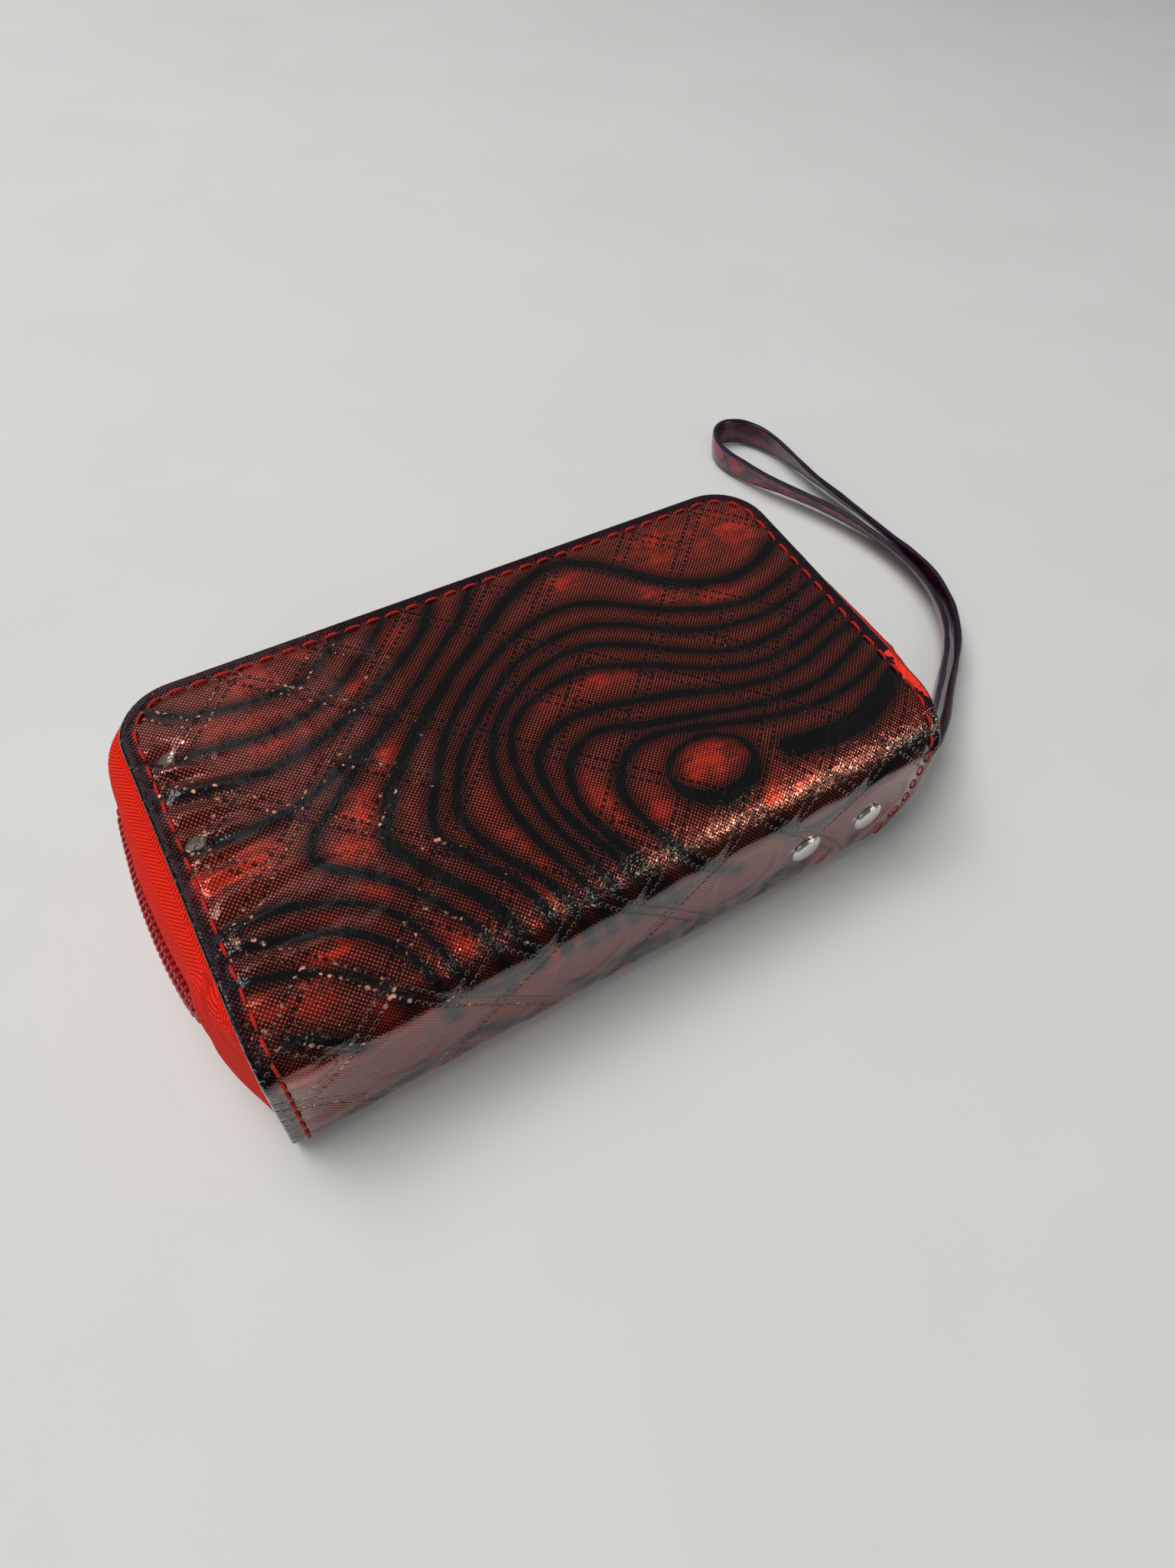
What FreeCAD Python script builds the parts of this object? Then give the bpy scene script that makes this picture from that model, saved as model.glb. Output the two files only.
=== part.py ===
"""Zip around wallet with a wrist strap: a small accordion-thick wallet whose cover is one glossy
wrap (top panel, rounded spine, bottom panel), closed on three sides by a coil zip.

Model frame while building: x runs along the spine from the middle of the panels, y runs from the
spine's outer face towards the far edge, z is up from the resting face. Every sub-part is then
placed by (centre_x, front_y, 0), so that the row frame's origin is the middle of the base.
"""

import FreeCAD
import Part

import math
import os
import re

import Sketcher

PARTS_FOLDER = "parts"
GUESS = 20.0  # radius of the ring that an outline's corners start on, before their constraints
LEAST_CUT = 1e-3  # a cut that removes less than this has missed
SAME = 1e-4  # two places closer than this are one
ARC_SHARE = 0.45  # of the shorter run beside it, that an arc of the strap's route takes up

# Driving dimensions, in millimetres.
DIMENSIONS = [
    # cover
    ("panel_half", 59.0, "half the panels' length along the spine"),
    ("panel_depth", 65.0, "spine face to the panels' far edge"),
    ("stack", 32.0, "outer face to outer face"),
    ("skin", 1.3, "cover skin thickness"),
    ("ridge_radius", 9.5, "spine to top panel"),
    ("base_radius", 5.0, "spine to bottom panel"),
    ("corner_radius", 9.7, "panel corners at the zip side"),
    ("board", 1.2, "stiffening board thickness"),
    ("board_inset", 6.0, "board edge inside the panel edge"),
    ("lining", 0.6, "lining thickness"),
    ("lining_inset", 1.5, "lining edge inside the panel edge"),
    ("hem", 0.7, "thickness of the tape margin under the panel edge"),
    ("hem_reach", 5.5, "how far the margin reaches under the panel"),
    ("split_gap", 0.3, "gap between the skins of two bodies"),
    ("bend_slack", 0.01, "how much a bend stops short of its full quarter round"),
    ("board_lift", 1.0, "spine board's lower edge above the base bend"),
    ("lining_back", 0.2, "top lining's front edge behind the bottom board's"),
    ("overrun", 1.0, "how far a cutting shape runs past what it cuts"),
    ("stitch_inset", 2.4, "seam line inside the panel edge"),
    ("thread_width", 0.8, "seam thread width"),
    ("thread_depth", 0.4, "seam thread sunk in the skin"),
    # main zip
    ("tape_out", 2.2, "tape outside the panel edge"),
    ("tape", 0.7, "tape thickness"),
    ("coil_thickness", 2.5, "closed chain thickness"),
    ("coil_width", 2.3, "one coil's width"),
    ("chain_gap", 1.2, "clearance between the two plain coil bands"),
    ("tail_start", 7.6, "where the chain starts beside the spine"),
    ("stop_length", 2.6, "metal end stop along the chain"),
    ("run_start", 30.0, "where the upper half leaves the slider's rest place"),
    ("slider_rest", 21.0, "slider centre from the spine face"),
    ("pull_clear", 0.15, "pull's knuckle off the slider plate, on both zips"),
    ("leg_clear", 0.3, "pull's knuckle to each crown leg, on both zips"),
    # wrist strap and its rivets
    ("strap_thickness", 1.8, "folded strap"),
    ("strap_width", 7.0, "folded strap"),
    ("strap_height", 12.0, "middle of the strap where it leaves the spine"),
    ("tail_inner_end", 27.0, "inner end of the strap's tail"),
    ("rivet_first", 33.0, "inner rivet from the middle"),
    ("rivet_spacing", 14.2, "rivet to rivet"),
    ("rivet_post", 1.0, "rivet post radius"),
    ("rivet_play", 0.05, "post clearance"),
    ("cap_radius", 3.3, "rivet cap radius"),
    ("cap_height", 1.6, "rivet cap dome"),
    ("washer_radius", 2.8, "rivet backing washer radius"),
    ("washer", 0.7, "rivet backing washer thickness"),
    # card slots
    ("card_half", 43.4, "half a card slot's width"),
    ("welt", 3.0, "sewn side welt of a card slot"),
    ("welt_gap", 0.2, "between a side welt and the closed end's welt"),
    ("card_sheet", 0.6, "card slot sheet"),
    ("card_play", 0.9, "height of a card slot"),
    ("slot_front", 10.0, "card slots' closed end from the spine face"),
    ("first_mouth", 56.0, "mouth of the card slot next to the lining"),
    ("mouth_step", 8.0, "each next mouth nearer the spine"),
    # coin pouch
    ("pouch_half", 50.0, "half the pouch's length"),
    ("pouch_front", 9.0, "pouch fold from the spine face"),
    ("pouch_back", 44.0, "pouch mouth from the spine face"),
    ("pouch_height", 7.8, "pouch outer height"),
    ("pouch_wall", 0.8, "pouch wall"),
    ("page_axis", 4.5, "pouch hinge line from the spine face"),
    ("page_gap", 0.25, "half the gap at the pouch hinge line"),
    ("strip", 0.6, "hinge strip thickness"),
    ("strip_left", 45.0, "hinge strip's left end from the middle"),
    ("strip_right", 22.0, "hinge strip's right end from the middle"),
    ("coin_tape", 0.6, "pouch tape thickness"),
    ("coin_coil", 2.0, "pouch chain thickness"),
    ("coin_coil_width", 1.7, "one pouch coil's width"),
    ("coin_chain_gap", 1.0, "clearance between the pouch's plain coil bands"),
    ("coin_slider_rest", 38.0, "pouch slider from the middle"),
]

# Both sliders share one shape. Each name is used with the zip's prefix.
SLIDER_DIMENSIONS = [
    ("plate", 1.0, 0.9, "slider plate thickness"),
    ("plate_half_length", 5.4, 3.8, "half a slider plate's length"),
    ("plate_half_width", 4.6, 2.9, "half a slider plate's width"),
    ("clear", 0.35, 0.3, "plate to chain"),
    ("web", 0.6, 0.5, "web between the chain halves"),
    ("flange", 1.2, 0.5, "flange width"),
    ("flange_clear", 0.35, 0.25, "flange to tape"),
    ("bar_radius", 0.9, 0.6, "crown bar radius"),
    ("knuckle", 0.7, 0.5, "pull's knuckle wall"),
    ("knuckle_play", 0.1, 0.1, "knuckle on crown bar"),
    ("knuckle_half", 2.2, 1.6, "half the pull's width"),
    ("leg", 0.9, 0.7, "crown leg thickness"),
    ("pull_length", 13.0, 7.0, "pull from crown bar to tip"),
]

NAMES = {name for name, value, note in DIMENSIONS}
NAMES |= {zip_ + "_" + name for zip_ in ("main", "coin") for name, *rest in SLIDER_DIMENSIONS}

# Derived lengths, written once and used by name inside other expressions.
DERIVED = {
    "mid": "(stack / 2)",
    "split_step": "(split_gap / sqrt(2))",
    "chain_out": "(tape_out + coil_thickness / 2)",
    "main_axis_out": "(tape_out + coil_thickness / 2 + main_clear + main_plate + main_bar_radius"
    " + main_knuckle_play + main_knuckle + pull_clear)",
    "pull_out": "(main_axis_out + main_bar_radius + main_knuckle_play + main_knuckle)",
    "centre_x": "((chain_out - pull_out) / 2)",
    "front_y": "((cap_height - panel_depth - chain_out) / 2)",
    "under_top": "(stack - skin)",
    "ceiling": "(stack - skin - board - lining)",
    "floor": "(skin + board + lining)",
    "pouch_low": "(stack / 2 - pouch_height / 2)",
    "pouch_high": "(stack / 2 + pouch_height / 2)",
    "mouth": "(pouch_back + coin_tape / 2)",
}

# The wrist strap's route: a loop that leaves the spine's right end, runs out past the corner and
# comes back beside itself. Points are x from the middle, y from the spine face, z from the base.
STRAP_ROUTE = [
    (59.0, 4.0, 12.0),
    (65.0, 4.0, 12.0),
    (74.5, 8.4, 10.4),
    (84.4, 14.8, 7.4),
    (98.0, 23.6, 4.6),
    (106.4, 30.4, 4.0),
    (112.6, 38.4, 4.0),
    (117.4, 48.8, 4.0),
    (119.2, 59.6, 4.0),
    (119.6, 71.0, 4.0),
    (119.8, 82.5, 4.0),
    (119.4, 94.0, 4.0),
    (120.2, 105.5, 4.0),
    (120.4, 115.0, 4.0),
    (117.4, 123.4, 4.0),
    (110.6, 126.6, 4.0),
    (104.2, 122.4, 4.0),
    (101.8, 113.6, 4.0),
    (104.6, 103.0, 4.0),
    (109.2, 93.0, 4.0),
    (113.4, 82.5, 4.0),
    (116.0, 71.0, 4.0),
    (116.7, 60.0, 4.0),
    (114.9, 49.8, 4.0),
    (110.4, 40.2, 4.0),
    (104.6, 32.6, 4.0),
    (96.4, 25.8, 4.6),
    (82.8, 16.8, 7.4),
    (73.2, 10.6, 10.4),
    (65.0, 5.8, 12.0),
    (59.0, 5.8, 12.0),
]

doc = FreeCAD.newDocument("zip_around_wallet")
dims = doc.addObject("Spreadsheet::Sheet", "Dims")
finished = []


def fill_sheet():
    """Writes every driving dimension and its note to the sheet."""
    rows = list(DIMENSIONS)
    for name, main, coin, note in SLIDER_DIMENSIONS:
        rows.append(("main_" + name, main, note + ", main zip"))
        rows.append(("coin_" + name, coin, note + ", pouch zip"))
    for row, (name, value, note) in enumerate(rows, start=1):
        dims.set(f"A{row}", note)
        dims.set(f"B{row}", f"{value}")
        dims.setAlias(f"B{row}", name)
    doc.recompute()


def bound(text):
    """An expression for the sheet: derived names spelled out, aliases given their sheet."""
    text = str(text)
    for turn in range(4):
        text = re.sub(r"[a-z_]+", lambda m: DERIVED.get(m.group(), m.group()), text)
    return re.sub(r"[a-z_]+", lambda m: "Dims." * (m.group() in NAMES) + m.group(), text)


def bind(thing, **expressions):
    """Binds properties to the sheet; a double underscore stands for a dot."""
    for name, text in expressions.items():
        thing.setExpression(name.replace("__", "."), bound(text))
    return thing


def place(thing, across="0", along="0", up="0"):
    """Puts a sub-part in the row frame, shifted by (across, along, up)."""
    return bind(
        thing,
        Placement__Base__x=f"centre_x + {across}",
        Placement__Base__y=f"front_y + {along}",
        Placement__Base__z=up,
    )


def finish(thing, label):
    """Names a finished sub-part, which gives its file its name."""
    thing.Label = label
    finished.append(thing)
    return thing


def polygon(body, plane, corners, height="0"):
    """A closed outline on one of the body's own planes, each corner placed by expressions."""
    sketch = body.newObject("Sketcher::SketchObject", "Outline")
    origin_plane = [f for f in body.Origin.OriginFeatures if f.Role == plane][0]
    sketch.AttachmentSupport = [(origin_plane, "")]
    sketch.MapMode = "FlatFace"
    bind(sketch, AttachmentOffset__Base__z=height)
    count = len(corners)
    guess = [
        FreeCAD.Vector(math.cos(math.tau * i / count), math.sin(math.tau * i / count), 0) * GUESS
        for i in range(count)
    ]
    for i in range(count):
        sketch.addGeometry(Part.LineSegment(guess[i], guess[(i + 1) % count]))
    for i in range(count):
        sketch.addConstraint(Sketcher.Constraint("Coincident", i, 2, (i + 1) % count, 1))
    for i, (first, second) in enumerate(corners):
        across = sketch.addConstraint(Sketcher.Constraint("DistanceX", -1, 1, i, 1, guess[i].x))
        along = sketch.addConstraint(Sketcher.Constraint("DistanceY", -1, 1, i, 1, guess[i].y))
        sketch.setExpression(f"Constraints[{across}]", bound(first))
        sketch.setExpression(f"Constraints[{along}]", bound(second))
    return sketch


def pad(body, sketch, length, symmetric=False):
    feature = body.newObject("PartDesign::Pad", "Pad")
    feature.Profile = sketch
    feature.SideType = "Symmetric" if symmetric else "One side"
    bind(feature, Length=length)
    doc.recompute()
    return feature


def pocket(body, sketch):
    """Cuts the outline right through the body, both ways, and checks that it cut something."""
    before = body.Shape.Volume
    feature = body.newObject("PartDesign::Pocket", "Pocket")
    feature.Profile = sketch
    feature.SideType = "Symmetric"
    feature.Type = "ThroughAll"
    doc.recompute()
    if not body.Shape.Volume < before - LEAST_CUT:
        raise RuntimeError("a pocket cut nothing")
    return feature


def fillet(body, base, radius, chosen):
    """Rounds the edges whose ends satisfy chosen(start, end)."""
    names = [
        f"Edge{i}"
        for i, edge in enumerate(base.Shape.Edges, start=1)
        if len(edge.Vertexes) == 2 and chosen(edge.Vertexes[0].Point, edge.Vertexes[1].Point)
    ]
    if not names:
        raise RuntimeError("no edge to round")
    feature = body.newObject("PartDesign::Fillet", "Fillet")
    feature.Base = (base, names)
    bind(feature, Radius=radius)
    doc.recompute()
    return feature


def upright(a, b):
    return abs(a.x - b.x) < SAME and abs(a.y - b.y) < SAME


def far_corner(base):
    """Picks the upright edges at the far side of base."""
    far = base.Shape.BoundBox.YMax
    return lambda a, b: upright(a, b) and abs(a.y - far) < SAME


def rectangle(half, front, back):
    return [
        (f"-({half})", front),
        (half, front),
        (half, back),
        (f"-({half})", back),
    ]


def panel(half, front, back, low, thickness, radius):
    """A flat plate with its two far corners rounded. Returns the placed body."""
    body = doc.addObject("PartDesign::Body", "Plate")
    plate = pad(body, polygon(body, "XY_Plane", rectangle(half, front, back), low), thickness)
    fillet(body, plate, radius, far_corner(plate))
    return place(body)


def u_band(outer, width, low, height, front):
    """A band of constant width round the panel's three open sides, outer outside its edge."""
    inner = f"{outer} - {width}"

    def plate(out, start):
        radius = f"corner_radius + {out}"
        return panel(f"panel_half + {out}", start, f"panel_depth + {out}", low, height, radius)

    return cut(plate(outer, front), [plate(inner, f"{front} - overrun")])


def block(across, along, up):
    """A plain box between pairs of expressions."""
    box = doc.addObject("Part::Box", "Block")
    bind(
        box,
        Length=f"({across[1]}) - ({across[0]})",
        Width=f"({along[1]}) - ({along[0]})",
        Height=f"({up[1]}) - ({up[0]})",
    )
    return place(box, f"({across[0]})", f"({along[0]})", up[0])


def rod(radius, length, across, along, up, turn_axis, turn):
    """A cylinder from a point, turned from +Z by turn degrees about turn_axis."""
    cylinder = doc.addObject("Part::Cylinder", "Rod")
    bind(cylinder, Radius=radius, Height=length)
    cylinder.Placement.Rotation = FreeCAD.Rotation(FreeCAD.Vector(*turn_axis), turn)
    return place(cylinder, f"({across})", f"({along})", f"({up})")


def joined(shapes):
    fuse = doc.addObject("Part::MultiFuse", "Joined")
    fuse.Shapes = shapes
    return fuse


def grouped(shapes):
    compound = doc.addObject("Part::Compound", "Group")
    compound.Links = shapes
    return compound


def cut(base, tools):
    result = doc.addObject("Part::Cut", "Trimmed")
    result.Base = base
    result.Tool = tools[0] if len(tools) == 1 else joined(tools)
    doc.recompute()
    if not result.Shape.Volume < base.Shape.Volume - LEAST_CUT:
        raise RuntimeError("a cut removed nothing")
    return result


# ---- cover ------------------------------------------------------------------------------------


def bend_edges(level, inner):
    """Picks the long edge of a bend: the outer one, or the one a skin thickness inside."""
    depth = dims.skin if inner else 0.0

    def chosen(a, b):
        along_x = abs(a.y - b.y) < SAME and abs(a.z - b.z) < SAME
        return along_x and abs(a.y - depth) < SAME and abs(a.z - level) < SAME

    return chosen


def panel_skin(top):
    """Top or bottom panel with its half of the bend: an angle section, rounded, cut at 45 degrees."""
    face = "stack" if top else "0"
    radius = "ridge_radius" if top else "base_radius"
    inward = "-" if top else "+"
    lip = f"{face} {inward} {radius}"
    body = doc.addObject("PartDesign::Body", "Skin")
    section = [
        ("0", face),
        ("panel_depth", face),
        ("panel_depth", f"{face} {inward} skin"),
        ("skin", f"{face} {inward} skin"),
        ("skin", lip),
        ("0", lip),
    ]
    solid = pad(body, polygon(body, "YZ_Plane", section), "2 * panel_half", symmetric=True)
    outer_level = dims.stack if top else 0.0
    inner_level = dims.stack - dims.skin if top else dims.skin
    solid = fillet(body, solid, f"{radius} - bend_slack", bend_edges(outer_level, False))
    solid = fillet(body, solid, f"{radius} - skin - bend_slack", bend_edges(inner_level, True))
    fillet(body, solid, "corner_radius", far_corner(solid))
    outward = "+" if top else "-"
    reach = f"{face} {inward} {radius} {inward} overrun"
    corner = [
        ("split_step - overrun", f"{face} {outward} overrun"),
        (f"{radius} + overrun + split_step", reach),
        ("split_step - overrun", reach),
    ]
    pocket(body, polygon(body, "YZ_Plane", corner))
    return place(body)


def spine_skin_body():
    """The upright spine with its halves of both bends: a channel section, rounded and trimmed."""
    body = doc.addObject("PartDesign::Body", "SpineSkin")
    section = [
        ("0", "0"),
        ("base_radius", "0"),
        ("base_radius", "skin"),
        ("skin", "skin"),
        ("skin", "under_top"),
        ("ridge_radius", "under_top"),
        ("ridge_radius", "stack"),
        ("0", "stack"),
    ]
    solid = pad(body, polygon(body, "YZ_Plane", section), "2 * panel_half", symmetric=True)
    inner_top = dims.stack - dims.skin
    solid = fillet(body, solid, "ridge_radius - bend_slack", bend_edges(dims.stack, False))
    solid = fillet(body, solid, "ridge_radius - skin - bend_slack", bend_edges(inner_top, True))
    solid = fillet(body, solid, "base_radius - bend_slack", bend_edges(0.0, False))
    fillet(body, solid, "base_radius - skin - bend_slack", bend_edges(dims.skin, True))
    past_ridge = "ridge_radius + 2 * overrun"
    ridge = [
        ("0 - overrun - split_step", "stack + overrun"),
        (past_ridge, "stack + overrun"),
        (past_ridge, f"stack - ({past_ridge}) - split_step"),
    ]
    past_base = "base_radius + 2 * overrun"
    base = [
        ("0 - overrun - split_step", "0 - overrun"),
        (past_base, "0 - overrun"),
        (past_base, f"{past_base} + split_step"),
    ]
    pocket(body, polygon(body, "YZ_Plane", ridge))
    pocket(body, polygon(body, "YZ_Plane", base))
    return place(body)


def build_cover():
    """Skins with their seam threads sunk in, boards and linings."""
    half_thread = "thread_width / 2"
    outer = f"({half_thread} - stitch_inset)"
    seam = {"outer": outer, "width": "thread_width", "height": "thread_depth"}
    top_thread = u_band(**seam, low="stack - thread_depth", front="ridge_radius")
    bottom_thread = u_band(**seam, low="0", front="base_radius")
    finish(top_thread, "top_seam_thread")
    finish(bottom_thread, "bottom_seam_thread")
    ends = [
        (f"{line} - {half_thread}", f"{line} + {half_thread}")
        for line in ("stitch_inset - panel_half", "panel_half - stitch_inset")
    ]
    spine_threads = [
        block(end, ("0", "thread_depth"), ("base_radius", "stack - ridge_radius")) for end in ends
    ]
    finish(grouped(spine_threads), "spine_seam_threads")
    finish(cut(panel_skin(top=True), [top_thread]), "top_cover_skin")
    finish(cut(panel_skin(top=False), [bottom_thread]), "bottom_cover_skin")
    holes = rivet_holes("0 - overrun", "skin + overrun")
    finish(cut(spine_skin_body(), spine_threads + holes), "spine_skin")

    inset = {"half": "panel_half - board_inset", "back": "panel_depth - board_inset"}
    corner = "corner_radius - board_inset"
    finish(
        panel(**inset, front="ridge_radius", low="under_top - board", thickness="board", radius=corner),
        "top_board",
    )
    finish(
        panel(**inset, front="board_inset", low="skin", thickness="board", radius=corner),
        "bottom_board",
    )
    inset = {"half": "panel_half - lining_inset", "back": "panel_depth - lining_inset"}
    corner = "corner_radius - lining_inset"
    finish(
        panel(
            **inset,
            front="board_inset + lining_back",
            low="ceiling",
            thickness="lining",
            radius=corner,
        ),
        "top_lining",
    )
    finish(
        panel(**inset, front="base_radius", low="skin + board", thickness="lining", radius=corner),
        "bottom_lining",
    )
    width = ("board_inset - panel_half", "panel_half - board_inset")
    wall = block(width, ("skin", "skin + board"), ("base_radius + board_lift", "stack - ridge_radius"))
    finish(cut(wall, rivet_holes("0", "skin + board + overrun")), "spine_board")
    width = ("lining_inset - panel_half", "panel_half - lining_inset")
    wall = block(width, ("skin + board", "floor"), ("base_radius", "stack - ridge_radius"))
    finish(cut(wall, rivet_holes("0", "floor + overrun")), "spine_lining")


# ---- rivets and the strap's tail ----------------------------------------------------------------


def rivet_places():
    return ["rivet_first", "(rivet_first + rivet_spacing)"]


def rivet_holes(front, back):
    """Clearance holes for the rivet posts, along y."""
    turn = {"turn_axis": (1, 0, 0), "turn": -90}
    return [
        rod("rivet_post + rivet_play", f"({back}) - ({front})", x, front, "strap_height", **turn)
        for x in rivet_places()
    ]


def cap(across):
    """A shallow domed cap on the spine's face: the part of a sphere that stands proud of it."""
    ball = doc.addObject("Part::Sphere", "Dome")
    reach = "((cap_radius * cap_radius + cap_height * cap_height) / (2 * cap_height))"
    bind(ball, Radius=reach)
    place(ball, across, f"({reach} - cap_height)", "strap_height")
    proud = block(
        (f"{across} - 2 * cap_radius", f"{across} + 2 * cap_radius"),
        ("0 - 2 * cap_height", "0"),
        ("strap_height - 2 * cap_radius", "strap_height + 2 * cap_radius"),
    )
    dome = doc.addObject("Part::Common", "Cap")
    dome.Base = ball
    dome.Tool = proud
    return dome


def build_rivets():
    inner = "(floor + 2 * strap_thickness)"
    turn = {"turn_axis": (1, 0, 0), "turn": -90}
    finish(grouped([cap(x) for x in rivet_places()]), "rivet_caps")
    posts = [
        rod("rivet_post", f"{inner} + washer", x, "0", "strap_height", **turn) for x in rivet_places()
    ]
    finish(grouped(posts), "rivet_posts")
    washers = []
    for x in rivet_places():
        disc = rod("washer_radius", "washer", x, inner, "strap_height", **turn)
        bore = rod("rivet_post + rivet_play", "washer + overrun", x, inner, "strap_height", **turn)
        washers.append(cut(disc, [bore]))
    finish(grouped(washers), "rivet_washers")
    tail = block(
        ("tail_inner_end", "panel_half"),
        ("floor", inner),
        ("strap_height - strap_width / 2", "strap_height + strap_width / 2"),
    )
    finish(cut(tail, rivet_holes("0", f"{inner} + overrun")), "strap_tail")


# ---- main zip -----------------------------------------------------------------------------------


def zip_half(upper):
    """One tape with its margin under the panel and its coil, as plain bands."""
    side = "upper" if upper else "lower"
    coil_low = "mid + chain_gap / 2" if upper else "mid - chain_gap / 2 - coil_width"
    tape_low = "mid + chain_gap / 2 + coil_width" if upper else "skin + hem"
    tape_high = "under_top - hem" if upper else "mid - chain_gap / 2 - coil_width"
    front = "run_start" if upper else "tail_start"
    coil_front = "run_start" if upper else "tail_start + stop_length"
    height = f"{tape_high} - ({tape_low})"
    tape_band = u_band("(tape_out + tape / 2)", "tape", tape_low, height, front)
    finish(tape_band, f"{side}_zip_tape")
    coil_band = u_band("chain_out", "coil_thickness", coil_low, "coil_width", coil_front)
    finish(coil_band, f"{side}_zip_coil")
    margin_low = "under_top - hem" if upper else "skin"
    margin_front = "ridge_radius" if upper else "board_inset"
    reach = "(tape_out + tape / 2 + hem_reach)"
    margin = u_band("(tape_out + tape / 2)", reach, margin_low, "hem", margin_front)
    finish(margin, f"{side}_tape_margin")


def end_blocks(out_low, out_high, along, up):
    """The same block at the left and the right end of the wallet."""
    left = block((f"0 - panel_half - {out_high}", f"0 - panel_half - {out_low}"), along, up)
    right = block((f"panel_half + {out_low}", f"panel_half + {out_high}"), along, up)
    return [left, right]


def build_main_zip():
    zip_half(upper=True)
    zip_half(upper=False)
    inner = "(tape_out - coil_thickness / 2)"
    coil_up = ("mid + chain_gap / 2", "mid + chain_gap / 2 + coil_width")
    tape_up = ("mid + chain_gap / 2 + coil_width", "under_top - hem")
    coil_along = ("tail_start + stop_length", "run_start")
    tape_near = "(tape_out - tape / 2)"
    tape_far = "(tape_out + tape / 2)"
    tails = end_blocks(tape_near, tape_far, ("tail_start", "run_start"), tape_up)
    finish(grouped(tails), "upper_tape_tails")
    finish(grouped(end_blocks(inner, "chain_out", coil_along, coil_up)), "upper_coil_tails")
    stop_along = ("tail_start", "tail_start + stop_length")
    low_up = ("mid - chain_gap / 2 - coil_width", "mid - chain_gap / 2")
    left, right = end_blocks(inner, "chain_out", stop_along, coil_up)
    finish(right, "upper_top_stop")
    left_low, right_low = end_blocks(inner, "chain_out", stop_along, low_up)
    finish(right_low, "lower_top_stop")
    bridge = block(
        ("0 - panel_half - chain_out", f"0 - panel_half - {inner}"),
        stop_along,
        ("mid - chain_gap / 2", "mid + chain_gap / 2"),
    )
    finish(joined([left, bridge, left_low]), "bottom_stop")


# ---- sliders ------------------------------------------------------------------------------------


def slider(zip_, half_thickness, tape_half):
    """A slider and its pull, about the chain's middle: x out of the tape, y along the chain.

    The two plates are held together by a thin web between the chain halves. The pull is a folded
    tab whose knuckle turns on the round crown bar.
    """
    name = {key: f"{zip_}_{key}" for key, *rest in SLIDER_DIMENSIONS}
    near = f"({half_thickness} + {name['clear']})"
    far = f"({near} + {name['plate']})"
    long = (f"0 - {name['plate_half_length']}", name["plate_half_length"])
    wide = (f"0 - {name['plate_half_width']}", name["plate_half_width"])
    flange = f"({name['plate_half_width']} - {name['flange']})"
    grip = f"({tape_half} + {name['flange_clear']})"
    reach = f"({name['bar_radius']} + {name['knuckle_play']})"
    wall = f"({reach} + {name['knuckle']})"
    axis = f"({far} + {wall} + pull_clear)"
    pieces = [
        ((near, far), long, wide),
        ((f"0 - {far}", f"0 - {near}"), long, wide),
        ((f"0 - {near}", near), long, (f"0 - {name['web']} / 2", f"{name['web']} / 2")),
    ]
    for outward in (True, False):
        depth = (grip, near) if outward else (f"0 - {near}", f"0 - {grip}")
        pieces.append((depth, long, (flange, name["plate_half_width"])))
        pieces.append((depth, long, (f"0 - {name['plate_half_width']}", f"0 - {flange}")))
    knuckle_end = f"({name['knuckle_half']} + leg_clear)"
    leg_end = f"({knuckle_end} + {name['leg']})"
    tall = (f"0 - {name['bar_radius']}", name["bar_radius"])
    for low, high in ((knuckle_end, leg_end), (f"0 - {leg_end}", f"0 - {knuckle_end}")):
        pieces.append(((far, f"{axis} + {name['bar_radius']}"), (low, high), tall))
    body = [local_block(*piece) for piece in pieces]
    body.append(local_rod(name["bar_radius"], f"0 - {leg_end}", f"2 * {leg_end}", axis))
    width = f"2 * {name['knuckle_half']}"
    outside = local_rod(wall, f"0 - {name['knuckle_half']}", width, axis)
    tab = local_block(
        (f"{axis} - {wall}", f"{axis} - {reach}"),
        (f"0 - {name['knuckle_half']}", name["knuckle_half"]),
        ("0", name["pull_length"]),
    )
    bore_start = f"0 - {name['knuckle_half']} - overrun"
    bore = local_rod(reach, bore_start, f"{width} + 2 * overrun", axis)
    pull = cut(joined([outside, tab]), [bore])
    return joined(body), pull


def local_block(across, along, up):
    """A box in a slider's own frame."""
    box = doc.addObject("Part::Box", "SliderBlock")
    bind(
        box,
        Length=f"({across[1]}) - ({across[0]})",
        Width=f"({along[1]}) - ({along[0]})",
        Height=f"({up[1]}) - ({up[0]})",
        Placement__Base__x=across[0],
        Placement__Base__y=along[0],
        Placement__Base__z=up[0],
    )
    return box


def local_rod(radius, start, length, across):
    """A cylinder along y in a slider's own frame."""
    cylinder = doc.addObject("Part::Cylinder", "SliderRod")
    cylinder.Placement.Rotation = FreeCAD.Rotation(FreeCAD.Vector(1, 0, 0), -90)
    bind(
        cylinder,
        Radius=radius,
        Height=length,
        Placement__Base__x=across,
        Placement__Base__y=start,
    )
    return cylinder


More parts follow.
